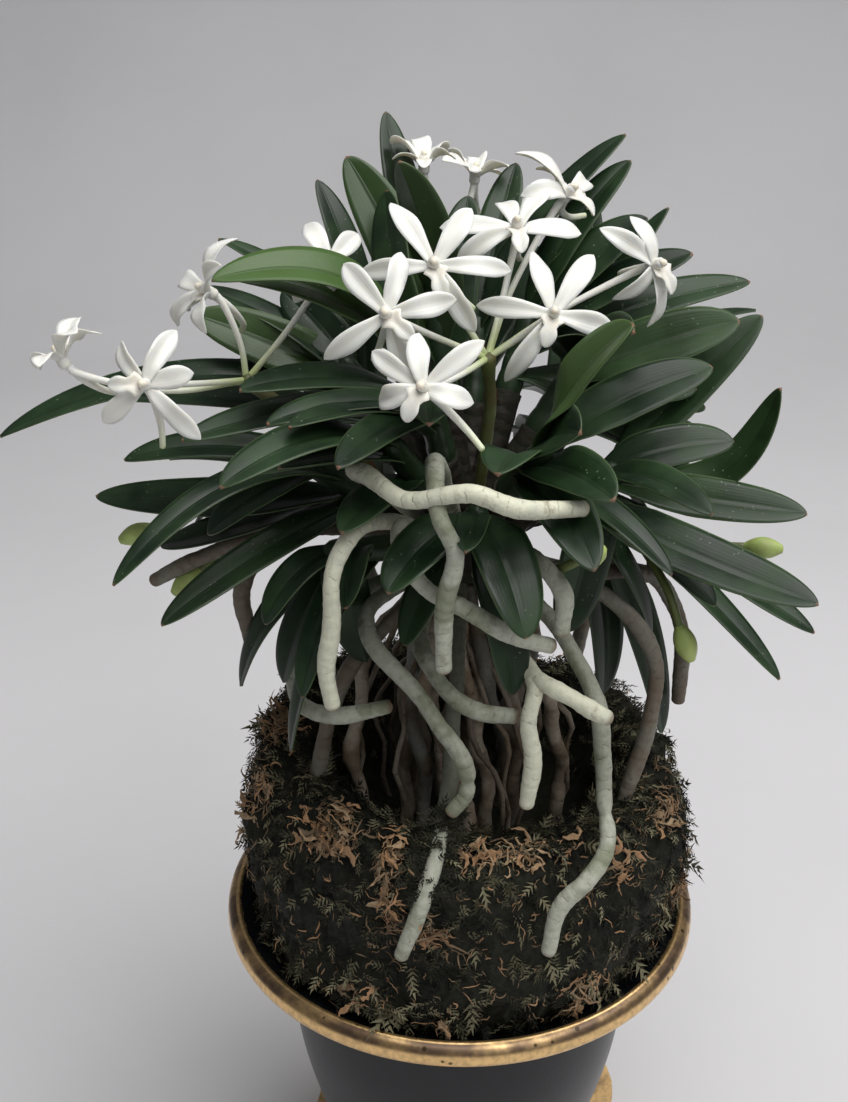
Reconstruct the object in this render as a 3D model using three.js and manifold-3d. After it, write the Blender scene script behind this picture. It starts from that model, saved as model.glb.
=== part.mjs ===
// Wind orchid in its pot: a glazed pot on three feet, a hollow mound of moss, a woody crown, thick roots,
// leafy stems, flower stalks, white spurred blooms and buds.
// Millimetres, +Z up. While it is built, z = 0 is 3 mm under the top of the pot's lip; at the end the whole
// stands on the floor, with its origin under the middle of its box.

import * as THREE from 'three';
import { mergeVertices } from 'three/addons/utils/BufferGeometryUtils.js';
import Module from 'manifold-3d';

const wasm = await Module();
wasm.setup();

// ---------------------------------------------------------------- driving dimensions

const GAP = 0.35; // between pieces that touch on the real plant
const TURN = Math.PI * 2;

const POT_HEIGHT = 100;
const RIM_RADIUS = 59;
const POT_SIDES = 20; // a multiple of four
const DRAIN_RADIUS = 9;
const FLOOR_TOP = 18 - POT_HEIGHT;
const FLOOR_UNDER = 14 - POT_HEIGHT;
const FOOT_ANGLES = [20, 140, 260];
const FOOT_WIDTH = 15;

const MOSS_RADIUS = 53; // at the widest, above the lip
const MOSS_TOP = 48; // above the rim
const MOSS_LEAN = 4.5; // how much higher the mound is on its left
const MOSS_SHIFT = 1.5; // of the mound to the right, over the pot's axis
const HOLLOW_RADIUS = 33;
const HOLLOW_FLOOR = 22;
const MOSS_LUMP = 1.8; // height of the lumps

const CROWN_CENTRE = new THREE.Vector3(0, 0, 100);
const CROWN_RADIUS = 9;
const BRANCH_RADIUS = 3.2;
const STEM_RADIUS = 3.2;
const STEM_LENGTH = 18;

const ROOT_RADIUS = 1.85;
const OLD_ROOT_RADIUS = 1.7;
const OLD_ROOT_DEPTH = 9; // how far an old root goes down into the moss
const OLD_BUNCHES = 5;
const OLD_ROOTS_A_BUNCH = 3;
const OLD_ROOT_TWIST = 0.8; // radians that a bunch turns on its way down
const KNUCKLE_RADIUS = 3;

const LEAF_THICKNESS = 1.3; // at the rib
const LEAF_FOLD = 0.28; // rise of the edge over the rib, by the half width
const LEAF_STATIONS = [0.01, 0.4, 0.8];

const TEPAL_WIDTH = 4.9;
const TEPAL_THICKNESS = 1.2;
const TEPAL_STATIONS = [0.09, 0.5, 0.85];
const TEPAL_CURL = 2.6; // how far a tepal's tip bends back
const COLUMN_RADIUS = 2.6;
const LIP_LENGTH = 6.5;
const LIP_HALF_WIDTH = 1.9;
const SPUR_RADIUS = 0.75;
const SPUR_LENGTH = 16;
const PEDICEL_RADIUS = 0.85;

const STALK_RADIUS = 1.3;
const NODE_RADIUS = 2.2;
const BRACT_AT = 0.7; // share of the way up the stalk
const BRACT_LENGTH = 6;
const BUD_STALK_RADIUS = 1;
const BUD_RADIUS = 2.6;
const BUD_LENGTH = 4.2;

const FINISHES = {
  glaze: { color: 0x14161a, roughness: 0.25, metalness: 0 },
  moss: { color: 0x2c2f1c, roughness: 1, metalness: 0 },
  bark: { color: 0x5a4a34, roughness: 0.9, metalness: 0 },
  leaf: { color: 0x2f4a2a, roughness: 0.4, metalness: 0 },
  liveRoot: { color: 0xc2c6b0, roughness: 0.7, metalness: 0 },
  oldRoot: { color: 0x8a6a4c, roughness: 0.9, metalness: 0 },
  petal: { color: 0xf4f2ea, roughness: 0.6, metalness: 0 },
  stalk: { color: 0x7f9a4a, roughness: 0.6, metalness: 0 },
  bud: { color: 0xb6cc6a, roughness: 0.6, metalness: 0 },
};

// ---------------------------------------------------------------- the plant's own places

// Roots: points that each one runs through, from the crown outwards, [x, y, z above the rim].
const LIVE_ROOTS = {
  root_bridge: [
    [
      [-7, -3, 106], [-19, -14, 121], [-23, -29, 131], [-19, -38, 133], [-12, -45, 132], [0, -49, 135],
      [9, -49, 132], [22, -45, 130],
    ],
  ],
  root_centre: [
    [
      [-2, -6, 106], [-5, -22, 126], [-7, -38, 136], [-6, -48, 130], [-3, -48, 121], [-5, -47, 108],
      [-5, -47, 95],
    ],
  ],
  root_pale: [
    [
      [-6, -5, 104], [-16, -24, 117], [-23, -38, 122], [-27, -44, 115], [-28, -45, 101], [-29, -45, 93],
      [-28, -45, 85],
    ],
  ],
  root_slant: [
    [
      [-4, -6, 102], [-13, -28, 118], [-14, -37, 118], [-8, -41, 110], [0, -43, 106], [10, -43, 100],
      [17, -43, 98],
    ],
  ],
  root_grey: [
    [
      [-6, -4, 98], [-20, -18, 94], [-21, -30, 93], [-14, -38, 88], [-7, -42, 80], [-1, -44, 71],
      [0, -44, 62], [-3, -45, 58],
    ],
  ],
  root_short: [[[5, -6, 104], [10, -24, 111], [15, -38, 114], [19, -43, 110], [19, -44, 102]]],
  root_long: [
    [
      [6, -5, 98], [20, -26, 92], [28, -37, 80], [29, -41, 70], [30, -44, 60], [30, -50, 53],
      [26, -54, 47], [20, -55.5, 40], [18, -56, 29],
    ],
  ],
  root_forked: [
    [[3, -6, 97], [10, -28, 90], [14, -40, 87], [13, -44, 80], [14, -45, 71], [13, -45, 60]],
    [[12, -35, 88.5], [16, -41, 88], [22, -45, 86], [29, -47, 83]],
  ],
  root_hook: [[[-3, -6, 97], [-9, -20, 92], [-9, -31, 88], [-3, -38, 83], [3, -40, 80], [10, -40, 79]]],
  root_level: [
    [[-6, -3, 96], [-24, -10, 92], [-37, -16, 82], [-37, -24, 73], [-29, -29, 72], [-17, -30, 75]],
  ],
  root_left_down: [[[-5, -3, 93], [-20, -11, 82], [-30, -15, 66], [-33, -18, 52], [-37, -20, 38]]],
  roots_right: [
    [[6, -2, 99], [24, -12, 98], [36, -17, 91], [43, -19, 78], [42, -20, 64], [37, -21, 42]],
    [[24, -12, 98], [34, -8, 97], [44, -2, 92], [50, 1, 82], [52, 0, 70], [52, 0, 58]],
  ],
  roots_left: [
    [[-6, -1, 101], [-26, -4, 106], [-42, -9, 106], [-49, -14, 97], [-48, -15, 83]],
    [[-26, -4, 106], [-36, 2, 103], [-48, 6, 98], [-62, 8, 92], [-73, 10, 85]],
  ],
  root_half_buried: [
    [[-1, -5, 93], [-2, -22, 74], [-4, -38, 56], [-7, -50, 47], [-10, -53.5, 38], [-14, -54, 26]],
  ],
  roots_back: [
    [[2, 6, 96], [4, 22, 98], [8, 40, 102], [10, 50, 92], [6, 50, 76]],
    [[4, 22, 98], [16, 34, 94], [30, 42, 88], [34, 42, 70], [30, 37, 40]],
    [[4, 22, 98], [-8, 32, 98], [-22, 42, 92], [-26, 46, 78], [-22, 44, 66]],
  ],
};

// Leafy stems: the foot of each and its leaves from the lowest up,
// [x, y, z of the tip, width, arch, roll in degrees].
const LEAFY_STEMS = {
  fan_left_low: {
    foot: [-17, -5, 112],
    leaves: [
      [-63, -40, 101, 10, 3, -10], [-85, 10, 107, 12, -2, -25], [-73, 14, 96, 11.5, -1, -20],
      [-71, -45, 113, 8, 14, -10], [-69, 20, 112, 9, 4, -10], [-74, -8, 124, 10, 6, -15],
      [-56, -14, 109, 11, 3, -15],
    ],
  },
  fan_left_high: {
    foot: [-16, 6, 124],
    leaves: [
      [-88, 28, 124, 10, 3, -10], [-104, 5, 124, 11, 13, -15], [-62, 26, 152, 10, 5, 0],
      [-59, 14, 152, 12, 1, -50], [-41, 24, 152, 10, 2, -50],
    ],
  },
  fan_upper_left: {
    foot: [-9, -3, 130],
    leaves: [
      [-58, -28, 137, 10, 4, -15], [-46, -26, 147, 10, 4, -15], [-51, -20, 168, 12, 16, -25],
      [-49, -6, 169, 11, 8, -25], [-17, 15, 177, 11, 2, -60],
    ],
  },
  fan_front_left: {
    foot: [-9, -14, 120],
    leaves: [
      [-31, -42, 125, 10, 3, -5], [-37, -42, 129, 10.5, 4, -10], [-43, -34, 125, 10, 4, -20],
      [-47, -55, 139, 11.5, 7, -8],
    ],
  },
  fan_hanging_left: {
    foot: [-15, -14, 106],
    leaves: [
      [-38, -34, 66, 9, 7, 20], [-50, -20, 74, 8, 9, -20], [-35, -45, 88, 9.5, 6, 15],
      [-39, -33, 83, 9.5, 6, 0], [-25, -40, 105, 12, 3, 30], [-42, -36, 99, 9.5, 5, 0],
      [-22, -16, 78, 11, 2, 0],
    ],
  },
  fan_front: {
    foot: [1, -17, 112],
    leaves: [
      [-13, -38, 95, 9, 4, 0], [12, -38, 84, 10, 6, 0], [-16, -52, 115, 12.5, 4, 0],
      [11, -54, 106, 12.5, 6, 0], [-1, -52, 124, 7, 2, 0],
    ],
  },
  fan_front_right: {
    foot: [9, -15, 120],
    leaves: [
      [39, -52, 119, 8, 7, 0], [26, -54, 119, 12, 6, 15], [27, -52, 135, 12, 4, 25],
      [5, -49, 139, 12, 4, 0], [21, -43, 145, 13.5, 3, 50], [50, -18, 149, 12, 3, 34],
      [31, -35, 164, 13, 3, 45],
    ],
  },
  fan_middle: {
    foot: [-5, -10, 126],
    leaves: [
      [-37, -44, 127, 9, 6, 0], [-25, -55, 143, 9.5, 5, -10], [-40, -34, 143, 9, 4, -10],
      [-8, -46, 148, 10, 3, 0],
    ],
  },
  fan_right_front: {
    foot: [17, -9, 114],
    leaves: [
      [37, -14, 79, 10, 5, 10], [71, -42, 107, 12.5, -2, 25], [53, -28, 99, 10.5, 2, 10],
      [47, -46, 129, 8.5, 6, 15], [57, -12, 130, 10.5, 3, 35], [22, -20, 88, 11, 3, 0],
    ],
  },
  fan_right: {
    foot: [19, 3, 108],
    leaves: [
      [34, 2, 58, 11, 5, 50], [53, 0, 50, 11, 5, 40], [67, -25, 76, 9.5, 3, 0],
      [80, -10, 84, 10, 0, 10], [75, -10, 112, 11, -0.5, 35], [67, 18, 148, 11.5, 1, 35],
      [69, 2, 137, 10, -15, 35],
    ],
  },
  fan_right_high: {
    foot: [16, 8, 124],
    leaves: [
      [67, 12, 97, 11, 4, 20], [60, 22, 125, 12, 4, 30], [52, 12, 129, 12, 3, 40],
      [60, 8, 150, 14, 2, 40], [32, -22, 161, 12, 3, 50], [19, 3, 148, 11, 2, 0],
    ],
  },
  fan_back_right: {
    foot: [10, 17, 130],
    leaves: [
      [42, 16, 117, 13, 4, 40], [66, 30, 152, 10.5, 4, 25], [51, 22, 161, 11, 3, 25],
      [41, 26, 168, 12, 3, 30], [38, 38, 178, 10, 4, 10],
    ],
  },
  fan_top: {
    foot: [-4, 6, 132],
    leaves: [
      [1, 30, 172, 11, 3, 0], [-26, 25, 182, 12.5, 3, -40], [-16, -2, 186, 12.5, 3, 35],
      [-13, 44, 188, 9, -2, 0],
    ],
  },
  fan_back_top: {
    foot: [2, 17, 127],
    leaves: [
      [22, 66, 150, 10, 7, 0], [-12, 62, 158, 10, 6, 0], [12, 50, 176, 10, 4, 0],
      [37, 42, 183, 10, 5, 0],
    ],
  },
};

// Leafy stems on the side away from the tall stalk: foot, number of leaves and the way that they lean.
const BACK_STEMS = {
  fan_back_left: { foot: [-14, 17, 117], leaves: 7, heading: 140 },
  fan_back: { foot: [1, 25, 114], leaves: 8, heading: 92 },
  fan_back_low: { foot: [17, 18, 112], leaves: 7, heading: 54 },
};

// Flower stalks, from the crown to the node that the blooms' pedicels come from.
const STALKS = {
  stalk_middle: [[2, -3, 106], [4, -7, 124], [5, -11, 139], [4, -15, 150]],
  stalk_left: [[-8, 2, 104], [-24, -2, 122], [-38, -4, 134], [-47, -4, 141]],
  stalk_back: [[-2, 6, 106], [-8, 20, 128], [-4, 32, 148], [-1, 37, 159]],
};

// Blooms: centre, the way that the face looks, tepals as [angle, length] seen from the front, counted from
// the right, the lip's angle, the stalk that holds it and the side that the spur bends to. A cup is the
// angle by which half open tepals stand forward of the flower's plane.
const BLOOMS = {
  bloom_far_left: {
    centre: [-82, -20, 151], facing: [-0.45, 0.1, 0.9], stalk: 'stalk_left', lip: 200, cup: 38,
    tepals: [[175, 16], [118, 12], [62, 13], [5, 13], [250, 10]], spur: [0.7, 0.6, -0.6],
  },
  bloom_left: {
    centre: [-64, -30, 150], facing: [-0.15, -0.9, 0.4], stalk: 'stalk_left', lip: 185,
    tepals: [[132, 11], [70, 12], [18, 9.5], [222, 12], [318, 15]], spur: [0.1, 0.3, -1],
  },
  bloom_upper_left: {
    centre: [-54, 0, 159], facing: [-0.85, -0.25, 0.5], stalk: 'stalk_left', lip: 240, cup: 24,
    tepals: [[188, 14], [95, 14], [40, 14], [330, 13], [235, 15]], spur: [0.3, 0.7, -0.8],
  },
  bloom_behind_leaf: {
    centre: [-29, 0, 165], facing: [0.1, -0.7, 0.7], stalk: 'stalk_left', lip: 270,
    tepals: [[156, 12], [107, 13], [50, 11], [355, 9], [215, 9]], spur: [-0.2, 0.8, -0.7],
  },
  bloom_top: {
    centre: [-7, -20, 171], facing: [0, -0.9, 0.45], stalk: 'stalk_middle', lip: 285,
    tepals: [[123, 16], [58, 14], [0, 15.5], [183, 15], [303, 15]], spur: [0.5, 0.5, -0.7],
  },
  bloom_leaning: {
    centre: [-16, -32, 165], facing: [-0.05, -0.9, 0.4], stalk: 'stalk_middle', lip: 318,
    tepals: [[132, 13.5], [80, 12.5], [15, 13.5], [215, 15], [290, 12]], spur: [-0.2, 0.6, -0.8],
  },
  bloom_lowest: {
    centre: [-9, -45, 155], facing: [-0.25, -0.85, 0.4], stalk: 'stalk_middle', lip: 250,
    tepals: [[153, 13.5], [108, 11], [47, 14], [350, 9], [200, 10]], spur: [0.75, -0.1, -0.8],
  },
  bloom_high_middle: {
    centre: [10, -5, 174], facing: [0, -0.6, 0.8], stalk: 'stalk_middle', lip: 275,
    tepals: [[104, 12], [61, 14.5], [170, 16], [200, 13], [6, 13.5]], spur: [0.1, 0.8, -0.6],
  },
  bloom_high_right: {
    centre: [21, 10, 177], facing: [0.65, -0.35, 0.7], stalk: 'stalk_middle', lip: 285, cup: 14,
    tepals: [[108, 14.5], [150, 11], [68, 10], [5, 14], [330, 9]], spur: [0.4, 0.9, -0.5],
  },
  bloom_middle: {
    centre: [17, -17, 160], facing: [0, -0.9, 0.45], stalk: 'stalk_middle', lip: 255,
    tepals: [[106, 14], [56, 15.5], [347, 13], [171, 15.5], [234, 16]], spur: [0.3, 0.9, -0.3],
  },
  bloom_right: {
    centre: [39, 0, 165], facing: [0.6, -0.7, 0.3], stalk: 'stalk_middle', lip: 290,
    tepals: [[136, 14.5], [98, 11], [330, 9], [275, 13], [215, 9]], spur: [-0.3, 0.9, -0.4],
  },
  bloom_back_left: {
    centre: [-9, 31, 178], facing: [0, 0, 1], stalk: 'stalk_back', lip: 270, cup: 42,
    tepals: [[148, 12], [96, 11], [55, 12], [200, 10], [340, 10]], spur: [0.1, 0.6, -0.8],
  },
  bloom_back_right: {
    centre: [3, 50, 171], facing: [0.2, 0.1, 1], stalk: 'stalk_back', lip: 270, cup: 38,
    tepals: [[140, 12], [88, 12], [30, 12], [205, 11], [330, 11]], spur: [0.2, 0.7, -0.7],
  },
};

// Sprays of unopened buds: the stalks' points, with a bud at the end of each.
const BUD_SPRAYS = {
  buds_left: [
    [[-8, 4, 103], [-30, 10, 108], [-54, 12, 106], [-66, 11, 101], [-72, 10, 99]],
    [[-42, 11, 108], [-50, 14, 100], [-57, 12, 92], [-62, 10, 88]],
  ],
  buds_right: [
    [[8, 2, 102], [30, 8, 106], [46, 4, 101], [57, 1, 99], [64, 0, 99]],
    [[30, 8, 106], [38, -2, 103], [45, -12, 95], [48, -15, 87]],
  ],
  bud_front: [[[4, -7, 104], [12, -26, 106], [18, -38, 113], [22, -45, 119]]],
};
// ---------------------------------------------------------------- tools

// Seeded draws, so that every build grows the same plant.
function makeDraw(seed) {
  let state = seed;
  return (low, high) => {
    state = (state * 1103515245 + 12345) % 2147483648;
    return low + (high - low) * (state / 2147483648);
  };
}

const vector = (place) => new THREE.Vector3(...place);
const radians = THREE.MathUtils.degToRad;

// The library's solid from a three.js geometry, whose double vertices are merged first.
function solidOf(geometry) {
  const bare = geometry.clone();
  bare.deleteAttribute('normal');
  bare.deleteAttribute('uv');
  const merged = mergeVertices(bare, 1e-4);
  return new wasm.Manifold(
    new wasm.Mesh({
      numProp: 3,
      vertProperties: Float32Array.from(merged.attributes.position.array),
      triVerts: Uint32Array.from(merged.index.array),
    }),
  );
}

function geometryOf(solid) {
  const mesh = solid.getMesh();
  const geometry = new THREE.BufferGeometry();
  geometry.setAttribute('position', new THREE.BufferAttribute(mesh.vertProperties, 3));
  geometry.setIndex(new THREE.BufferAttribute(mesh.triVerts, 1));
  geometry.computeVertexNormals();
  return geometry;
}

// The main body of a solid, without the crumbs that a cut leaves or any hollow sealed inside.
function mainBody(solid) {
  const bodies = solid.decompose();
  return bodies.reduce((best, body) => (body.volume() > best.volume() ? body : best));
}

const join = (solids) => wasm.Manifold.union(solids);

// A closed skin over rings with equally many points, which run anticlockwise seen from the far end.
// It closes on the point start below the first ring and on the point end past the last.
// Where flipped[side] is true, the quads of that side are split along their other diagonal.
function loft(rings, start, end, flipped = []) {
  const sides = rings[0].length;
  const points = [...rings.flat(), start, end];
  const first = points.length - 2;
  const last = points.length - 1;
  const faces = [];
  for (let side = 0; side < sides; side++) {
    const next = (side + 1) % sides;
    faces.push(first, next, side);
    for (let ring = 0; ring + 1 < rings.length; ring++) {
      const a = ring * sides + side;
      const b = ring * sides + next;
      const c = b + sides;
      const d = a + sides;
      faces.push(...(flipped[side] ? [a, b, d, b, c, d] : [a, b, c, a, c, d]));
    }
    const top = (rings.length - 1) * sides;
    faces.push(top + side, top + next, last);
  }
  const geometry = new THREE.BufferGeometry();
  geometry.setAttribute('position', new THREE.Float32BufferAttribute(points.flatMap((p) => p.toArray()), 3));
  geometry.setIndex(faces);
  return geometry;
}

// A round limb along a curve. The radius is a function of the share of the way, and both ends are domed.
function limb(places, radiusAt, { sides = 6, steps = 8, extra = 0, dome = 0.7 } = {}) {
  const curve = new THREE.CatmullRomCurve3(places.map(vector), false, 'centripetal');
  const frames = curve.computeFrenetFrames(steps, false);
  const rings = [];
  for (let step = 0; step <= steps; step++) {
    const share = step / steps;
    const centre = curve.getPointAt(share);
    const radius = radiusAt(share) + extra;
    rings.push(
      Array.from({ length: sides }, (_, side) => {
        const angle = (side / sides) * TURN;
        return centre
          .clone()
          .addScaledVector(frames.normals[step], Math.cos(angle) * radius)
          .addScaledVector(frames.binormals[step], Math.sin(angle) * radius);
      }),
    );
  }
  const start = curve.getPointAt(0).addScaledVector(frames.tangents[0], -radiusAt(0) * dome - extra);
  const end = curve.getPointAt(1).addScaledVector(frames.tangents[steps], radiusAt(1) * dome + extra);
  return solidOf(loft(rings, start, end));
}

// A folded blade along a curve: a rib, two edges raised towards the face, and a pointed end.
const BLADE_SPLIT = [false, true, false, true];
function blade(curve, face, halfWidthAt, { thickness, fold, stations, roll = 0, extra = 0 }) {
  const rings = stations.map((share) => {
    const centre = curve.getPoint(share);
    const along = curve.getTangent(share);
    const side = face.clone().cross(along).normalize();
    side.applyAxisAngle(along, roll * Math.min(1, share * 2));
    const normal = along.clone().cross(side);
    const half = halfWidthAt(share) + extra;
    const depth = thickness / 2 + extra;
    const rise = half * fold;
    return [
      centre.clone().addScaledVector(normal, depth),
      centre.clone().addScaledVector(side, -half).addScaledVector(normal, rise),
      centre.clone().addScaledVector(normal, -depth),
      centre.clone().addScaledVector(side, half).addScaledVector(normal, rise),
    ];
  });
  const start = curve.getPoint(stations[0]).addScaledVector(curve.getTangent(stations[0]), -0.4 - extra);
  const end = curve.getPoint(1).addScaledVector(curve.getTangent(1), extra);
  return solidOf(loft(rings, start, end, BLADE_SPLIT));
}

// ---------------------------------------------------------------- pot

// Outer and inner walls as [radius, height above the rim]; the inner wall also shapes the moss.
const POT_OUTSIDE = [
  [DRAIN_RADIUS, FLOOR_UNDER], [25, FLOOR_UNDER], [32.5, -77], [37.6, -59], [41.4, -44], [43, -30],
  [42.2, -15], [46, -7], [54, -3.6], [RIM_RADIUS - 1, -2.8], [RIM_RADIUS, -1.2],
];
const POT_RIM = [[RIM_RADIUS - 0.8, 1.8], [RIM_RADIUS - 2.6, 2.8]];
const POT_INSIDE = [
  [54, 1.2], [43, -6.5], [38.5, -14.5], [39, -30], [35, -55], [30, -70], [22, FLOOR_TOP],
  [DRAIN_RADIUS, FLOOR_TOP],
];

function lathe(profile, sides) {
  const points = profile.map(([radius, height]) => new THREE.Vector2(radius, height));
  const geometry = new THREE.LatheGeometry(points, sides);
  return geometry.rotateX(Math.PI / 2);
}

// One foot: a curved bracket that swells out of the wall low down and flares a little on the floor.
function potFoot(angle) {
  const outline = new THREE.Shape();
  outline.moveTo(36, -60);
  outline.quadraticCurveTo(43.5, -66, 44.6, -77);
  outline.quadraticCurveTo(43.6, -90, 47.5, -POT_HEIGHT);
  outline.lineTo(38.5, -POT_HEIGHT);
  outline.quadraticCurveTo(36, -94, 33, -86);
  outline.lineTo(26.5, -83);
  outline.closePath();
  const shape = { depth: FOOT_WIDTH, curveSegments: 2, bevelEnabled: false };
  const foot = new THREE.ExtrudeGeometry(outline, shape);
  foot.translate(0, 0, -FOOT_WIDTH / 2);
  foot.rotateX(Math.PI / 2);
  foot.rotateZ(radians(angle));
  return solidOf(foot);
}

function makePot() {
  const profile = [...POT_OUTSIDE, ...POT_RIM, ...POT_INSIDE, POT_OUTSIDE[0]];
  const body = solidOf(lathe(profile, POT_SIDES));
  return join([body, ...FOOT_ANGLES.map(potFoot)]);
}

// ---------------------------------------------------------------- moss

// Lumps that fade out towards the pot and towards the middle of the hollow.
function mossLump(angle, height, radius) {
  const coarse = Math.sin(5 * angle + 0.11 * height) + Math.sin(3 * angle - 0.16 * height + 1.7);
  const fine = Math.sin(11 * angle + 0.35 * height) * Math.cos(7 * angle - 0.27 * height);
  const above = THREE.MathUtils.smoothstep(height, -6, 12);
  const offMiddle = THREE.MathUtils.smoothstep(radius, 6, 30);
  return MOSS_LUMP * above * offMiddle * (0.55 * coarse + 0.7 * fine);
}

function makeMoss() {
  const wall = POT_INSIDE.slice(2, -1).filter((_, index) => index % 2 === 0);
  const inside = wall.map(([radius, height]) => [radius - GAP, height + GAP]);
  const profile = [
    [0, FLOOR_TOP + GAP], ...inside.reverse(), [42, -6.2], [50.5, 0.6], [53, 7],
    [MOSS_RADIUS, 19], [MOSS_RADIUS, 31], [MOSS_RADIUS - 2.5, MOSS_TOP - 6],
    [MOSS_RADIUS - 8, MOSS_TOP], [HOLLOW_RADIUS + 5, MOSS_TOP - 1], [HOLLOW_RADIUS, MOSS_TOP - 9],
    [HOLLOW_RADIUS - 6, HOLLOW_FLOOR + 4], [HOLLOW_RADIUS - 16, HOLLOW_FLOOR], [0, HOLLOW_FLOOR],
  ];
  const geometry = lathe(profile, POT_SIDES);
  const places = geometry.attributes.position;
  for (let index = 0; index < places.count; index++) {
    const x = places.getX(index);
    const y = places.getY(index);
    const z = places.getZ(index);
    const radius = Math.hypot(x, y);
    if (z < -8 || radius < 1) continue;
    const angle = Math.round((Math.atan2(y, x) / TURN) * POT_SIDES) * (TURN / POT_SIDES);
    const lump = mossLump(angle, z, radius);
    const lean = THREE.MathUtils.smoothstep(z, 5, MOSS_TOP) * MOSS_LEAN * (x / MOSS_RADIUS);
    const shift = MOSS_SHIFT * THREE.MathUtils.smoothstep(z, 0, 12);
    const swell = 1 + lump / radius;
    places.setXYZ(index, x * swell + shift, y * swell, z - lean + 0.5 * lump);
  }
  return solidOf(geometry);
}

// ---------------------------------------------------------------- crown, roots and stalks

const awayFromCrown = (foot) => vector(foot).sub(CROWN_CENTRE).normalize();

// A lump of old wood, with a branch to the foot of every leafy stem.
function makeCrown(feet, extra = 0) {
  const lump = new THREE.IcosahedronGeometry(CROWN_RADIUS + extra, 1).scale(1, 1, 1.15);
  lump.translate(...CROWN_CENTRE.toArray());
  const branches = feet.map((foot) => {
    const end = vector(foot);
    const start = end.clone().sub(CROWN_CENTRE).setLength(CROWN_RADIUS * 0.6).add(CROWN_CENTRE);
    const radiusAt = (share) => BRANCH_RADIUS + 0.6 * (1 - share);
    return limb([start.toArray(), end.toArray()], radiusAt, { sides: 3, steps: 1, dome: 0, extra });
  });
  return join([solidOf(lump), ...branches]);
}

// Radius of a live root, a little uneven on its way and thinner at its end.
function rootRadius(share) {
  return ROOT_RADIUS * (1 + 0.07 * Math.sin(share * 17) - 0.25 * Math.max(0, share - 0.85));
}

function makeRoots(lines, extra = 0) {
  const stepsOf = (line) => Math.round(1.1 * line.length);
  return join(lines.map((line) => limb(line, rootRadius, { sides: 5, steps: stepsOf(line), extra })));
}

// A bunch of old roots: all leave one knuckle under the crown and go down into the floor of the hollow.
function oldRootLines(bunch) {
  const draw = makeDraw(100 + bunch);
  const middle = radians(90 + (360 / OLD_BUNCHES) * bunch);
  const at = (radius, angle, height) => [radius * Math.cos(angle), radius * Math.sin(angle), height];
  return Array.from({ length: OLD_ROOTS_A_BUNCH }, (_, index) => {
    const sideways = (index / (OLD_ROOTS_A_BUNCH - 1) - 0.5) * radians(46);
    const reach = 12 + 12 * (index % 2) + draw(-1.5, 1.5);
    const way = middle + sideways;
    return [
      at(5 + 2.5 * (index % 2), way, 91),
      at(reach * 0.75 + 3, way + OLD_ROOT_TWIST * 0.3 + draw(-0.05, 0.05), 72 + draw(-3, 3)),
      at(reach + draw(0, 3), way + OLD_ROOT_TWIST * 0.8 + draw(-0.05, 0.05), 48 + draw(-4, 4)),
      at(reach, way + OLD_ROOT_TWIST, HOLLOW_FLOOR - OLD_ROOT_DEPTH),
    ];
  });
}

function makeOldRoots(bunch, extra = 0) {
  const lines = oldRootLines(bunch);
  const radiusAt = (share) => OLD_ROOT_RADIUS * (1 + 0.08 * Math.sin(share * 23 + bunch));
  const middle = lines.reduce((sum, line) => sum.add(vector(line[0])), new THREE.Vector3());
  const knuckle = new THREE.IcosahedronGeometry(KNUCKLE_RADIUS + extra, 0);
  knuckle.translate(...middle.divideScalar(lines.length).toArray());
  const roots = lines.map((line) => limb(line, radiusAt, { sides: 4, steps: 4, extra }));
  return join([solidOf(knuckle), ...roots]);
}

// A stalk thickens into the node that holds the pedicels, and has a bract on its way.
function makeStalk(line, extra = 0) {
  const stem = limb(line, () => STALK_RADIUS, { sides: 4, steps: 4, extra });
  const node = new THREE.IcosahedronGeometry(NODE_RADIUS + extra, 0).translate(...line.at(-1));
  const curve = new THREE.CatmullRomCurve3(line.map(vector), false, 'centripetal');
  const foot = curve.getPointAt(BRACT_AT);
  const out = curve.getTangentAt(BRACT_AT).applyAxisAngle(new THREE.Vector3(1, 0, 0), -0.5);
  const tip = foot.clone().addScaledVector(out, BRACT_LENGTH);
  const width = (share) => 1.5 * (1 - 0.7 * share);
  const bract = limb([foot.toArray(), tip.toArray()], width, { sides: 4, steps: 1, extra });
  return join([stem, solidOf(node), bract]);
}

// ---------------------------------------------------------------- blooms and buds

// Half width of a tepal: narrow at its foot, widest past the middle, blunt at its end.
function tepalHalf(share) {
  const widening = 0.42 + 0.58 * Math.sin(Math.min(1, share / 0.6) * (Math.PI / 2));
  const narrowing = (1 - Math.max(0, (share - 0.6) / 0.4) ** 2.4) ** 0.6;
  return (TEPAL_WIDTH / 2) * widening * narrowing;
}

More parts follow.
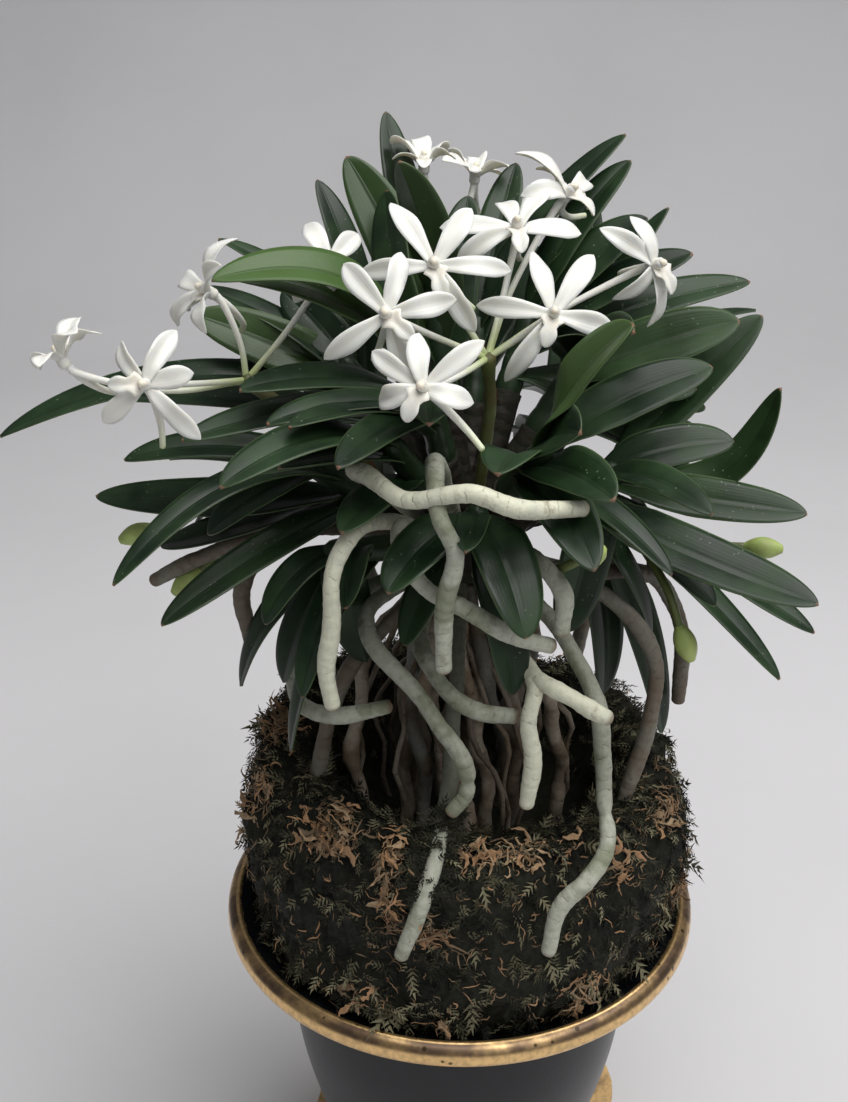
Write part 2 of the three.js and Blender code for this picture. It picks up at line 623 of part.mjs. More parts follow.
function makeBloom({ centre, facing, tepals, lip, spur, stalk, cup = 0 }, extra = 0) {
  const heart = vector(centre);
  const face = vector(facing).normalize();
  const right = new THREE.Vector3(0, 0, 1).cross(face);
  if (right.length() < 1e-3) right.set(1, 0, 0);
  const up = face.clone().cross(right.normalize());
  const towards = (degrees) => {
    const angle = radians(degrees);
    return right.clone().multiplyScalar(Math.cos(angle)).addScaledVector(up, Math.sin(angle));
  };
  const shape = { thickness: TEPAL_THICKNESS, fold: 0.12, stations: TEPAL_STATIONS, extra };
  const petals = tepals.map(([angle, length]) => {
    const out = towards(angle).multiplyScalar(Math.cos(radians(cup)));
    out.addScaledVector(face, Math.sin(radians(cup)));
    const middle = heart.clone().addScaledVector(out, length * 0.55).addScaledVector(face, TEPAL_CURL * 0.6);
    const tip = heart.clone().addScaledVector(out, length).addScaledVector(face, -TEPAL_CURL);
    return blade(new THREE.QuadraticBezierCurve3(heart, middle, tip), face, tepalHalf, shape);
  });
  const down = towards(lip);
  const lipMiddle = heart.clone().addScaledVector(face, 3.4).addScaledVector(down, LIP_LENGTH * 0.35);
  const lipTip = heart.clone().addScaledVector(face, 2).addScaledVector(down, LIP_LENGTH);
  const lipCurve = new THREE.QuadraticBezierCurve3(heart, lipMiddle, lipTip);
  const tongue = blade(lipCurve, face, () => LIP_HALF_WIDTH, { ...shape, stations: [0.2, 0.75] });
  const column = new THREE.OctahedronGeometry(COLUMN_RADIUS + extra, 0);
  column.translate(...heart.clone().addScaledVector(face, 1.3).toArray());

  const back = heart.clone().addScaledVector(face, -1.5);
  const bend = vector(spur).normalize();
  const spurLine = [
    heart.toArray(),
    back.clone().addScaledVector(bend, SPUR_LENGTH * 0.25).addScaledVector(face, -1.5).toArray(),
    back.clone().addScaledVector(bend, SPUR_LENGTH * 0.7).addScaledVector(face, -1.5).toArray(),
    back.clone().addScaledVector(bend, SPUR_LENGTH).addScaledVector(face, 1).toArray(),
  ];
  const tail = limb(spurLine, (share) => SPUR_RADIUS * (1.25 - 0.4 * share), { sides: 3, steps: 3, extra });

  const node = vector(STALKS[stalk].at(-1));
  const reach = back.distanceTo(node);
  const pedicelLine = [
    node.toArray(),
    node.clone().lerp(back, 0.5).addScaledVector(face, -0.1 * reach).toArray(),
    back.toArray(),
    heart.toArray(),
  ];
  const pedicel = limb(pedicelLine, () => PEDICEL_RADIUS, { sides: 3, steps: 3, extra });
  return join([...petals, tongue, solidOf(column), tail, pedicel]);
}

function makeBudSpray(lines) {
  const pieces = lines.flatMap((line) => {
    const end = vector(line.at(-1));
    const along = end.clone().sub(vector(line.at(-2))).normalize();
    const tip = end.clone().addScaledVector(along, BUD_LENGTH * 2);
    const swell = (share) => BUD_RADIUS * Math.sin(Math.PI * (0.12 + 0.76 * share));
    const bud = limb([end.toArray(), tip.toArray()], swell, { sides: 4, steps: 3 });
    return [limb(line, () => BUD_STALK_RADIUS, { sides: 4, steps: 3 }), bud];
  });
  return join(pieces);
}

// ---------------------------------------------------------------- leaves

// Half width of a leaf: strap shaped, a little narrower at its foot, with an acute tip.
const leafHalf = (width) => (share) => (width / 2) * Math.min(1, 0.34 + 2 * share) * (1 - share ** 6) ** 0.65;

// A leaf from its foot on the stem to its tip. The face looks up, and away from the plant on a hanging leaf.
function makeLeaf(foot, leaf, [lift, swing], extra = 0) {
  const [x, y, z, width, arch, roll] = leaf;
  const chord = new THREE.Vector3(x, y, z).sub(foot);
  const outwards = new THREE.Vector3(x, y, 0).normalize().multiplyScalar(chord.length() * 0.25);
  const level = new THREE.Vector3(chord.x, chord.y, 0).add(outwards).normalize();
  const side = new THREE.Vector3(0, 0, 1).cross(level);
  chord.applyAxisAngle(side, -radians(lift));
  chord.applyAxisAngle(new THREE.Vector3(0, 0, 1), radians(swing));
  side.applyAxisAngle(new THREE.Vector3(0, 0, 1), radians(swing));
  const face = chord.clone().cross(side).normalize();
  const middle = foot.clone().addScaledVector(chord, 0.45).addScaledVector(face, arch * 1.6);
  const curve = new THREE.QuadraticBezierCurve3(foot, middle, foot.clone().add(chord));
  return blade(curve, face, leafHalf(width), {
    thickness: LEAF_THICKNESS,
    fold: LEAF_FOLD,
    stations: LEAF_STATIONS,
    roll: radians(roll),
    extra,
  });
}

// Leaves of a stem at the back: two ranks, the oldest low and wide apart, the youngest nearly upright.
function backLeaves({ foot, leaves, heading }) {
  const draw = makeDraw(Math.round(foot[0] * 7 + foot[1] * 3 + 500));
  return Array.from({ length: leaves }, (_, index) => {
    const age = 1 - index / (leaves - 1);
    const rank = index % 2 ? 1 : -1;
    const way = radians(heading + rank * (14 + 30 * age) + draw(-6, 6));
    const rise = radians(52 - 104 * age + draw(-5, 5));
    const length = 44 + 18 * Math.sin(Math.PI * (0.2 + 0.6 * age)) + draw(-4, 6);
    return [
      foot[0] + length * Math.cos(rise) * Math.cos(way),
      foot[1] + length * Math.cos(rise) * Math.sin(way),
      foot[2] + STEM_LENGTH * 0.6 + length * Math.sin(rise),
      draw(7.5, 9.5),
      7 + 6 * age,
      0,
    ];
  });
}

// Small bends, least first: [degrees up, degrees round]. A leaf takes the first that is clear of its
// neighbours.
const MOST_BEND = 28;
const BENDS = [];
for (let lift = -MOST_BEND; lift <= MOST_BEND; lift += 4) {
  for (let swing = -MOST_BEND; swing <= MOST_BEND; swing += 4) BENDS.push([lift, swing]);
}
BENDS.sort((a, b) => Math.hypot(...a) - Math.hypot(...b));

function boxesMeet(a, b) {
  const [one, two] = [a.boundingBox(), b.boundingBox()];
  return [0, 1, 2].every((axis) => one.min[axis] <= two.max[axis] && two.min[axis] <= one.max[axis]);
}

const isClear = (solid, others) =>
  others.every((other) => !boxesMeet(solid, other) || solid.intersect(other).isEmpty());

function makeStem(foot) {
  const way = awayFromCrown(foot);
  const start = vector(foot).addScaledVector(way, GAP);
  const end = vector(foot).addScaledVector(way, STEM_LENGTH);
  const radiusAt = (share) => STEM_RADIUS * (1 - 0.2 * share);
  return limb([start.toArray(), end.toArray()], radiusAt, { sides: 4, steps: 1, dome: 0 });
}

function makeLeafyStem(foot, leaves, others) {
  const way = awayFromCrown(foot);
  const blades = leaves.map((leaf, index) => {
    const share = 0.2 + (0.75 * index) / (leaves.length - 1);
    const base = vector(foot).addScaledVector(way, STEM_LENGTH * share);
    const bend = BENDS.find((option) => isClear(makeLeaf(base, leaf, option, GAP), others));
    return makeLeaf(base, leaf, bend);
  });
  return join([makeStem(foot), ...blades]);
}

// ---------------------------------------------------------------- the whole plant

const CRUMB = 0.08; // edges that a cut leaves closer together than this are drawn together

const pieces = [];
function keep(name, solid, finish) {
  pieces.push({ name, solid: mainBody(solid).simplify(CRUMB), finish });
}

const stems = { ...LEAFY_STEMS };
for (const [name, stem] of Object.entries(BACK_STEMS)) {
  stems[name] = { foot: stem.foot, leaves: backLeaves(stem) };
}
const feet = Object.values(stems).map((stem) => stem.foot);

const crown = makeCrown(feet);
const grownCrown = makeCrown(feet, GAP);

keep('pot', makePot(), 'glaze');
keep('crown', crown, 'bark');

const grownRoots = [];
for (let bunch = 0; bunch < OLD_BUNCHES; bunch++) {
  const roots = makeOldRoots(bunch).subtract(join([grownCrown, ...grownRoots]));
  keep(`old_roots_${bunch + 1}`, roots, 'oldRoot');
  grownRoots.push(makeOldRoots(bunch, GAP));
}
for (const [name, lines] of Object.entries(LIVE_ROOTS)) {
  const roots = makeRoots(lines).subtract(join([grownCrown, ...grownRoots]));
  keep(name, roots, 'liveRoot');
  grownRoots.push(makeRoots(lines, GAP));
}
keep('moss', makeMoss().subtract(join(grownRoots)), 'moss');

const bareStems = feet.map(makeStem);
let blocked = join([grownCrown, ...grownRoots, ...bareStems]);
for (const [name, line] of Object.entries(STALKS)) {
  keep(name, makeStalk(line).subtract(blocked), 'stalk');
  blocked = join([blocked, makeStalk(line, GAP)]);
}
for (const [name, lines] of Object.entries(BUD_SPRAYS)) {
  keep(name, makeBudSpray(lines).subtract(blocked), 'bud');
}
const grownBlooms = [];
for (const [name, bloom] of Object.entries(BLOOMS)) {
  const whole = makeBloom(bloom);
  const crossed = grownBlooms.filter((other) => !isClear(whole, [other]));
  keep(name, whole.subtract(join([blocked, ...crossed])), 'petal');
  grownBlooms.push(makeBloom(bloom, GAP));
}

Object.entries(stems).forEach(([name, { foot, leaves }], index) => {
  const others = [...pieces.map((piece) => piece.solid), ...bareStems.filter((_, at) => at > index)];
  keep(name, makeLeafyStem(foot, leaves, others), 'leaf');
});

const orchid = new THREE.Group();
for (const { name, solid, finish } of pieces) {
  const mesh = new THREE.Mesh(geometryOf(solid), new THREE.MeshStandardMaterial(FINISHES[finish]));
  mesh.name = name;
  orchid.add(mesh);
}
const box = new THREE.Box3().setFromObject(orchid);
orchid.position.set(-(box.min.x + box.max.x) / 2, -(box.min.y + box.max.y) / 2, -box.min.z);

export default orchid;
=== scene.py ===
"""A wind orchid in its footed pot: the finished look of every piece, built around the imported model."""
import math
import random
import bpy
import numpy as np
from bpy.props import FloatProperty, FloatVectorProperty, IntProperty, PointerProperty
from mathutils import Matrix, Quaternion, Vector


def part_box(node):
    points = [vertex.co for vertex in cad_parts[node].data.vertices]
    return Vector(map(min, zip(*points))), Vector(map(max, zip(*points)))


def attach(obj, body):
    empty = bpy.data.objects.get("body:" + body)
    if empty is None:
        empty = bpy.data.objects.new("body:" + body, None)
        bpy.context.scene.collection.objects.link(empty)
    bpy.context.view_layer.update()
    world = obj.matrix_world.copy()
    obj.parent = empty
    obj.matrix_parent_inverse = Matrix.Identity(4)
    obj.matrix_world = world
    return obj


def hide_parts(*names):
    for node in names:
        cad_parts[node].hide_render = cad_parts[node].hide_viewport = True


bl_info = {
    "name": "Wind orchid",
    "version": (1, 0, 0),
    "blender": (4, 5, 0),
    "location": "3D View > Sidebar > Orchid",
    "description": "Builds the finished pieces of a wind orchid in its pot",
    "category": "Object",
}

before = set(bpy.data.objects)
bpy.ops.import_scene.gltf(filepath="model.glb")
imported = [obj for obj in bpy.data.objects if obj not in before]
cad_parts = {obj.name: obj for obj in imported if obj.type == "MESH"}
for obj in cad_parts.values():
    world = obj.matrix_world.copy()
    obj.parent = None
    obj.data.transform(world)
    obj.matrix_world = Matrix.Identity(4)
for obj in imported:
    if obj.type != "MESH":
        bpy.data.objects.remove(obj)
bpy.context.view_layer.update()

# ------------------------------------------------------------------ places

MM = 0.001
UP = Vector((0, 0, 1))
POT_LOW, POT_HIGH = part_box("pot")
RIM_HEIGHT = 0.100
AXIS = Vector(((POT_LOW.x + POT_HIGH.x) / 2, (POT_LOW.y + POT_HIGH.y) / 2, RIM_HEIGHT))
ORIGIN = np.array(AXIS)

# Every table below is in millimetres from the pot's axis, with z = 0 three under the top of its lip.
FLOOR = -100.0
CROWN_CENTRE = Vector((0, 0, 100))
CROWN_RADIUS = 9.0
STEM_LENGTH = 18.0
STEM_RADIUS = 3.0

POT_PROFILE = [
    (9, -86), (25, -86), (28.2, -83.6), (30.6, -80.4), (32.5, -77), (35.3, -68.5), (37.5, -59.5),
    (39.7, -51.5), (41.3, -44), (42.5, -37), (43, -30), (42.8, -22.5), (42.2, -15), (42.6, -11.6),
    (43.9, -8.9), (46, -7), (48.6, -5.6), (51.4, -4.5), (54, -3.8), (56.4, -3.4), (57.9, -3), (58.7, -2.3),
    (59, -1.2), (58.9, -0.1), (58.7, 0.9), (58.2, 1.8), (57.5, 2.4), (56.8, 2.6), (56.3, 2.9), (55.7, 2.8),
    (55.2, 2.2), (54, 1.2), (51, -0.9), (47, -3.8), (43, -6.6), (40.2, -10), (38.7, -14.5), (38.7, -22),
    (39, -30), (37.6, -43), (35, -55), (30, -70), (26.5, -77), (22, -82), (9, -82),
]
POT_SIDES = 96
FOOT_ANGLES = (20, 140, 260)
FOOT_ROUNDING = 1.1
FOOT_SECTIONS = [  # height, inner radius, outer radius, width
    (-60, 35.6, 36.6, 9), (-64, 34.6, 39.8, 12), (-69, 33.2, 42.7, 14), (-74, 31.5, 44.2, 15),
    (-79, 30, 44.7, 15), (-84, 30, 44.5, 15), (-89, 33.5, 44.8, 15), (-94.5, 36, 45.9, 15),
    (-98.5, 37.8, 47.1, 15), (FLOOR, 38.5, 47.5, 15),
]
MOSS_PROFILE = [
    (0.5, -81.6), (21.5, -81.6), (34.6, -54.6), (38.1, -14.2), (42, -6.2), (50.5, 0.6), (53, 7), (53, 19),
    (53, 31), (50.5, 42), (45, 48), (38, 47), (33, 39), (27, 26), (17, 22), (0.5, 22),
]
MOSS_SKIN = MOSS_PROFILE[4:14]  # what shows above the pot, with the wall of the hollow
MOSS_SIDE = MOSS_PROFILE[4:11]  # up to the top of the mound
MOSS_TOP = 48.0
MOSS_RADIUS = 53.0
MOSS_LEAN = 4.5
MOSS_SHIFT = 1.5  # of the mound to the right
MOSS_SIDES = 90
MOSS_GRAIN = 0.45
LUMPS_FROM = -8  # height above which the moss is lumpy

LIVE_ROOTS = {
    "root_bridge": [
        [(-7, -3, 106), (-19, -14, 121), (-23, -29, 131), (-19, -38, 133), (-12, -45, 132), (0, -49, 135),
         (9, -49, 132), (22, -45, 130)],
    ],
    "root_centre": [
        [(-2, -6, 106), (-5, -22, 126), (-7, -38, 136), (-6, -48, 130), (-3, -48, 121), (-5, -47, 108),
         (-5, -47, 95)],
    ],
    "root_pale": [
        [(-6, -5, 104), (-16, -24, 117), (-23, -38, 122), (-27, -44, 115), (-28, -45, 101), (-29, -45, 93),
         (-28, -45, 85)],
    ],
    "root_slant": [
        [(-4, -6, 102), (-13, -28, 118), (-14, -37, 118), (-8, -41, 110), (0, -43, 106), (10, -43, 100),
         (17, -43, 98)],
    ],
    "root_grey": [
        [(-6, -4, 98), (-20, -18, 94), (-21, -30, 93), (-14, -38, 88), (-7, -42, 80), (-1, -44, 71),
         (0, -44, 62), (-3, -45, 58)],
    ],
    "root_short": [[(5, -6, 104), (10, -24, 111), (15, -38, 114), (19, -43, 110), (19, -44, 102)]],
    "root_long": [
        [(6, -5, 98), (20, -26, 92), (28, -37, 80), (29, -41, 70), (30, -44, 60), (30, -50, 53),
         (26, -54, 47), (20, -55.5, 40), (18, -56, 29)],
    ],
    "root_forked": [
        [(3, -6, 97), (10, -28, 90), (14, -40, 87), (13, -44, 80), (14, -45, 71), (13, -45, 60)],
        [(12, -35, 88.5), (16, -41, 88), (22, -45, 86), (29, -47, 83)],
    ],
    "root_hook": [[(-3, -6, 97), (-9, -20, 92), (-9, -31, 88), (-3, -38, 83), (3, -40, 80), (10, -40, 79)]],
    "root_level": [
        [(-6, -3, 96), (-24, -10, 92), (-37, -16, 82), (-37, -24, 73), (-29, -29, 72), (-17, -30, 75)],
    ],
    "root_left_down": [[(-5, -3, 93), (-20, -11, 82), (-30, -15, 66), (-33, -18, 52), (-37, -20, 38)]],
    "roots_right": [
        [(6, -2, 99), (24, -12, 98), (36, -17, 91), (43, -19, 78), (42, -20, 64), (37, -21, 42)],
        [(24, -12, 98), (34, -8, 97), (44, -2, 92), (50, 1, 82), (52, 0, 70), (52, 0, 58)],
    ],
    "roots_left": [
        [(-6, -1, 101), (-26, -4, 106), (-42, -9, 106), (-49, -14, 97), (-48, -15, 83)],
        [(-26, -4, 106), (-36, 2, 103), (-48, 6, 98), (-62, 8, 92), (-73, 10, 85)],
    ],
    "root_half_buried": [
        [(-1, -5, 93), (-2, -22, 74), (-4, -38, 56), (-7, -50, 47), (-10, -53.5, 38), (-14, -54, 26)],
    ],
    "roots_back": [
        [(2, 6, 96), (4, 22, 98), (8, 40, 102), (10, 50, 92), (6, 50, 76)],
        [(4, 22, 98), (16, 34, 94), (30, 42, 88), (34, 42, 70), (30, 37, 40)],
        [(4, 22, 98), (-8, 32, 98), (-22, 42, 92), (-26, 46, 78), (-22, 44, 66)],
    ],
}
OVERGROWN = ((-4, -40, 55), (-9, -53, 41))  # the stretch of the half buried root under moss
PALE_ROOTS = ("root_pale", "root_forked", "root_bridge")
# Roots in the dark grey material: partly their own dark grey, partly painted shade, as they lie behind or in
# shade.
GREY_AND_SHADED_ROOTS = ("root_left_down", "roots_left", "roots_right", "roots_back")

# Leafy stems: foot, then leaves from the lowest up, (x, y, z of the tip, width, arch, roll in degrees).
LEAFY_STEMS = {
    "fan_left_low": ((-17, -5, 112), [
        (-63, -40, 101, 10, 3, -10), (-85, 10, 107, 12, -2, -25), (-73, 14, 96, 11.5, -1, -20),
        (-71, -45, 113, 8, 14, -10), (-69, 20, 112, 9, 4, -10), (-74, -8, 124, 10, 6, -15),
        (-56, -14, 109, 11, 3, -15),
    ]),
    "fan_left_high": ((-16, 6, 124), [
        (-88, 28, 124, 10, 3, -10), (-104, 5, 124, 11, 13, -15), (-62, 26, 152, 10, 5, 0),
        (-59, 14, 152, 12, 1, -50), (-41, 24, 152, 10, 2, -50),
    ]),
    "fan_upper_left": ((-9, -3, 130), [
        (-58, -28, 137, 10, 4, -15), (-46, -26, 147, 10, 4, -15), (-51, -20, 168, 12, 16, -25),
        (-49, -6, 169, 11, 8, -25), (-17, 15, 177, 11, 2, -60),
    ]),
    "fan_front_left": ((-9, -14, 120), [
        (-31, -42, 125, 10, 3, -5), (-37, -42, 129, 10.5, 4, -10), (-43, -34, 125, 10, 4, -20),
        (-47, -55, 139, 11.5, 7, -8),
    ]),
    "fan_hanging_left": ((-15, -14, 106), [
        (-38, -34, 66, 9, 7, 20), (-50, -20, 74, 8, 9, -20), (-35, -45, 88, 9.5, 6, 15),
        (-39, -33, 83, 9.5, 6, 0), (-25, -40, 105, 12, 3, 30), (-42, -36, 99, 9.5, 5, 0),
        (-22, -16, 78, 11, 2, 0),
    ]),
    "fan_front": ((1, -17, 112), [
        (-13, -38, 95, 9, 4, 0), (12, -38, 84, 10, 6, 0), (-16, -52, 115, 12.5, 4, 0),
        (11, -54, 106, 12.5, 6, 0), (-1, -52, 124, 7, 2, 0),
    ]),
    "fan_front_right": ((9, -15, 120), [
        (39, -52, 119, 8, 7, 0), (26, -54, 119, 12, 6, 15), (27, -52, 135, 12, 4, 25),
        (5, -49, 139, 12, 4, 0), (21, -43, 145, 13.5, 3, 50), (50, -18, 149, 12, 3, 34),
        (31, -35, 164, 13, 3, 45),
    ]),
    "fan_middle": ((-5, -10, 126), [
        (-37, -44, 127, 9, 6, 0), (-25, -55, 143, 9.5, 5, -10), (-40, -34, 143, 9, 4, -10),
        (-8, -46, 148, 10, 3, 0),
    ]),
    "fan_right_front": ((17, -9, 114), [
        (37, -14, 79, 10, 5, 10), (71, -42, 107, 12.5, -2, 25), (53, -28, 99, 10.5, 2, 10),
        (47, -46, 129, 8.5, 6, 15), (57, -12, 130, 10.5, 3, 35), (22, -20, 88, 11, 3, 0),
    ]),
    "fan_right": ((19, 3, 108), [
        (34, 2, 58, 11, 5, 50), (53, 0, 50, 11, 5, 40), (67, -25, 76, 9.5, 3, 0),
        (80, -10, 84, 10, 0, 10), (75, -10, 112, 11, -0.5, 35), (67, 18, 148, 11.5, 1, 35),
        (69, 2, 137, 10, -15, 35),
    ]),
    "fan_right_high": ((16, 8, 124), [
        (67, 12, 97, 11, 4, 20), (60, 22, 125, 12, 4, 30), (52, 12, 129, 12, 3, 40),
        (60, 8, 150, 14, 2, 40), (32, -22, 161, 12, 3, 50), (19, 3, 148, 11, 2, 0),
    ]),
    "fan_back_right": ((10, 17, 130), [
        (42, 16, 117, 13, 4, 40), (66, 30, 152, 10.5, 4, 25), (51, 22, 161, 11, 3, 25),
        (41, 26, 168, 12, 3, 30), (38, 38, 178, 10, 4, 10),
    ]),
    "fan_top": ((-4, 6, 132), [
        (1, 30, 172, 11, 3, 0), (-26, 25, 182, 12.5, 3, -40), (-16, -2, 186, 12.5, 3, 35),
        (-13, 44, 188, 9, -2, 0),
    ]),
    "fan_back_top": ((2, 17, 127), [
        (22, 66, 150, 10, 7, 0), (-12, 62, 158, 10, 6, 0), (12, 50, 176, 10, 4, 0),
        (37, 42, 183, 10, 5, 0),
    ]),
}
# Leafy stems on the far side: foot, number of leaves and the way that they lean.
BACK_STEMS = {
    "fan_back_left": ((-14, 17, 117), 7, 140),
    "fan_back": ((1, 25, 114), 8, 92),
    "fan_back_low": ((17, 18, 112), 7, 54),
}
# Leaves that are younger and yellower than the rest: stem, place on it and how young.
YOUNG_LEAVES = {
    ("fan_upper_left", 2): 0.75, ("fan_upper_left", 3): 0.6, ("fan_left_high", 3): 0.55, ("fan_top", 1): 0.5,
    ("fan_top", 2): 0.55, ("fan_front_right", 6): 0.7, ("fan_right_high", 3): 0.4, ("fan_right", 4): 0.35,
    ("fan_right", 5): 0.3, ("fan_right", 6): 0.35,
}

STALKS = {
    "stalk_middle": [(2, -3, 106), (4, -7, 124), (5, -11, 139), (4, -15, 150)],
    "stalk_left": [(-8, 2, 104), (-24, -2, 122), (-38, -4, 134), (-47, -4, 141)],
    "stalk_back": [(-2, 6, 106), (-8, 20, 128), (-4, 32, 148), (-1, 37, 159)],
}
# Blooms: centre, the way that the face looks, the lip's angle, tepals as (angle, length) counted from the
# right, the side that the spur bends to, the stalk that holds it, and the cup: the angle by which the tepals
# stand forward of the flower's plane.
BLOOMS = {
    "bloom_far_left": (
        (-82, -20, 151), (-0.45, 0.1, 0.9), 200, [(175, 16), (118, 12), (62, 13), (5, 13), (250, 10)],
        (0.7, 0.6, -0.6), "stalk_left", 38,
    ),
    "bloom_left": (
        (-64, -30, 150), (-0.15, -0.9, 0.4), 185, [(132, 11), (70, 12), (18, 9.5), (222, 12), (318, 15)],
        (0.1, 0.3, -1), "stalk_left", 0,
    ),
    "bloom_upper_left": (
        (-54, 0, 159), (-0.85, -0.25, 0.5), 240, [(188, 14), (95, 14), (40, 14), (330, 13), (235, 15)],
        (0.3, 0.7, -0.8), "stalk_left", 24,
    ),
    "bloom_behind_leaf": (
        (-29, 0, 165), (0.1, -0.7, 0.7), 270, [(156, 12), (107, 13), (50, 11), (355, 9), (215, 9)],
        (-0.2, 0.8, -0.7), "stalk_left", 0,
    ),
    "bloom_top": (
        (-7, -20, 171), (0, -0.9, 0.45), 285, [(123, 16), (58, 14), (0, 15.5), (183, 15), (303, 15)],
        (0.5, 0.5, -0.7), "stalk_middle", 0,
    ),
    "bloom_leaning": (
        (-16, -32, 165), (-0.05, -0.9, 0.4), 318,
        [(132, 13.5), (80, 12.5), (15, 13.5), (215, 15), (290, 12)], (-0.2, 0.6, -0.8), "stalk_middle", 0,
    ),
    "bloom_lowest": (
        (-9, -45, 155), (-0.25, -0.85, 0.4), 250, [(153, 13.5), (108, 11), (47, 14), (350, 9), (200, 10)],
        (0.75, -0.1, -0.8), "stalk_middle", 0,
    ),
    "bloom_high_middle": (
        (10, -5, 174), (0, -0.6, 0.8), 275, [(104, 12), (61, 14.5), (170, 16), (200, 13), (6, 13.5)],
        (0.1, 0.8, -0.6), "stalk_middle", 0,
    ),
    "bloom_high_right": (
        (21, 10, 177), (0.65, -0.35, 0.7), 285, [(108, 14.5), (150, 11), (68, 10), (5, 14), (330, 9)],
        (0.4, 0.9, -0.5), "stalk_middle", 14,
    ),
    "bloom_middle": (
        (17, -17, 160), (0, -0.9, 0.45), 255, [(106, 14), (56, 15.5), (347, 13), (171, 15.5), (234, 16)],
        (0.3, 0.9, -0.3), "stalk_middle", 0,
    ),
    "bloom_right": (
        (39, 0, 165), (0.6, -0.7, 0.3), 290, [(136, 14.5), (98, 11), (330, 9), (275, 13), (215, 9)],
        (-0.3, 0.9, -0.4), "stalk_middle", 0,
    ),
    "bloom_back_left": (
        (-9, 31, 178), (0, 0, 1), 270, [(148, 12), (96, 11), (55, 12), (200, 10), (340, 10)],
        (0.1, 0.6, -0.8), "stalk_back", 42,
    ),
    "bloom_back_right": (
        (3, 50, 171), (0.2, 0.1, 1), 270, [(140, 12), (88, 12), (30, 12), (205, 11), (330, 11)],
        (0.2, 0.7, -0.7), "stalk_back", 38,
    ),
}
BUD_SPRAYS = {
    "buds_left": [
        [(-8, 4, 103), (-30, 10, 108), (-54, 12, 106), (-66, 11, 101), (-72, 10, 99)],
        [(-42, 11, 108), (-50, 14, 100), (-57, 12, 92), (-62, 10, 88)],
    ],
    "buds_right": [
        [(8, 2, 102), (30, 8, 106), (46, 4, 101), (57, 1, 99), (64, 0, 99)],
        [(30, 8, 106), (38, -2, 103), (45, -12, 95), (48, -15, 87)],
    ],
    "bud_front": [[(4, -7, 104), (12, -26, 106), (18, -38, 113), (22, -45, 119)]],
}

# Dead moss on the mound: angle round the pot's axis, height, spread in degrees, spread in height, number of
# strands, and the share of them that hang down.
DEAD_MOSS = [
    (-134, 41, 6, 4, 46, 0.1), (-126, 44, 6, 4, 60, 0.2), (-111, 44, 3, 5, 34, 0.9),
    (-110, 33, 2, 7, 40, 1.0), (-103, 29, 5, 3, 40, 0.2), (-97, 26, 4, 2, 20, 0.1),
    (-168, 20, 4, 4, 14, 0.4), (-178, 47, 9, 4, 90, 0.6), (-162, 38, 7, 7, 60, 0.6), (-14, 9, 2, 5, 34, 0.9),
    (-96, 5, 1.5, 3, 10, 1.0), (-63, 6, 2, 4, 16, 0.9), (-60, 10, 4, 3, 16, 0.7), (-18, 16, 6, 6, 46, 0.3),
    (-24, 42, 12, 4, 60, 0.4), (-80, 46, 18, 2, 60, 0.1), (-118, 6, 5, 2, 12, 0.3), (-47, 38, 6, 5, 16, 0.3),
    (60, 40, 30, 8, 60, 0.4), (130, 25, 25, 10, 50, 0.4), (20, 20, 20, 8, 40, 0.4),
]


# ------------------------------------------------------------------ sizes and colours that a user may change

def length_value(label, about, default):
    return FloatProperty(name=label, description=about, default=default, min=0, unit="LENGTH", precision=5)


def colour_value(label, about, default):
    return FloatVectorProperty(name=label, description=about, default=default, subtype="COLOR", min=0, max=1)


class OrchidSizes(bpy.types.PropertyGroup):
    """Sizes of the plant's pieces."""

    leaf_thickness: length_value("Leaf thickness", "Thickness of a leaf at its rib", 1.3 * MM)
    leaf_fold: FloatProperty(name="Leaf fold", description="Rise of the edge by half width", default=0.28)
    root_radius: length_value("Root radius", "Radius of a live root", 1.85 * MM)
    old_root_radius: length_value("Old root radius", "Radius of an old root", 1.7 * MM)
    tepal_width: length_value("Tepal width", "Width of a tepal at its widest", 4.9 * MM)
    tepal_thickness: length_value("Tepal thickness", "Thickness of a tepal", 0.72 * MM)
    tepal_curl: length_value("Tepal curl", "How far a tepal's tip bends back", 2.6 * MM)
    spur_radius: length_value("Spur radius", "Radius of a spur", 0.75 * MM)
    spur_length: length_value("Spur length", "Length of a spur", 16 * MM)
    pedicel_radius: length_value("Pedicel radius", "Radius of a pedicel", 0.72 * MM)
    stalk_radius: length_value("Stalk radius", "Radius of a flower stalk", 1.3 * MM)
    bud_radius: length_value("Bud radius", "Radius of a bud", 2.6 * MM)
    moss_lump: length_value("Moss lumps", "Height of the lumps on the moss", 1.8 * MM)
    frond_length: length_value("Frond length", "Length of a moss frond", 3.6 * MM)
    frond_count: IntProperty(name="Moss fronds", description="Number of moss fronds", default=11000, min=0)


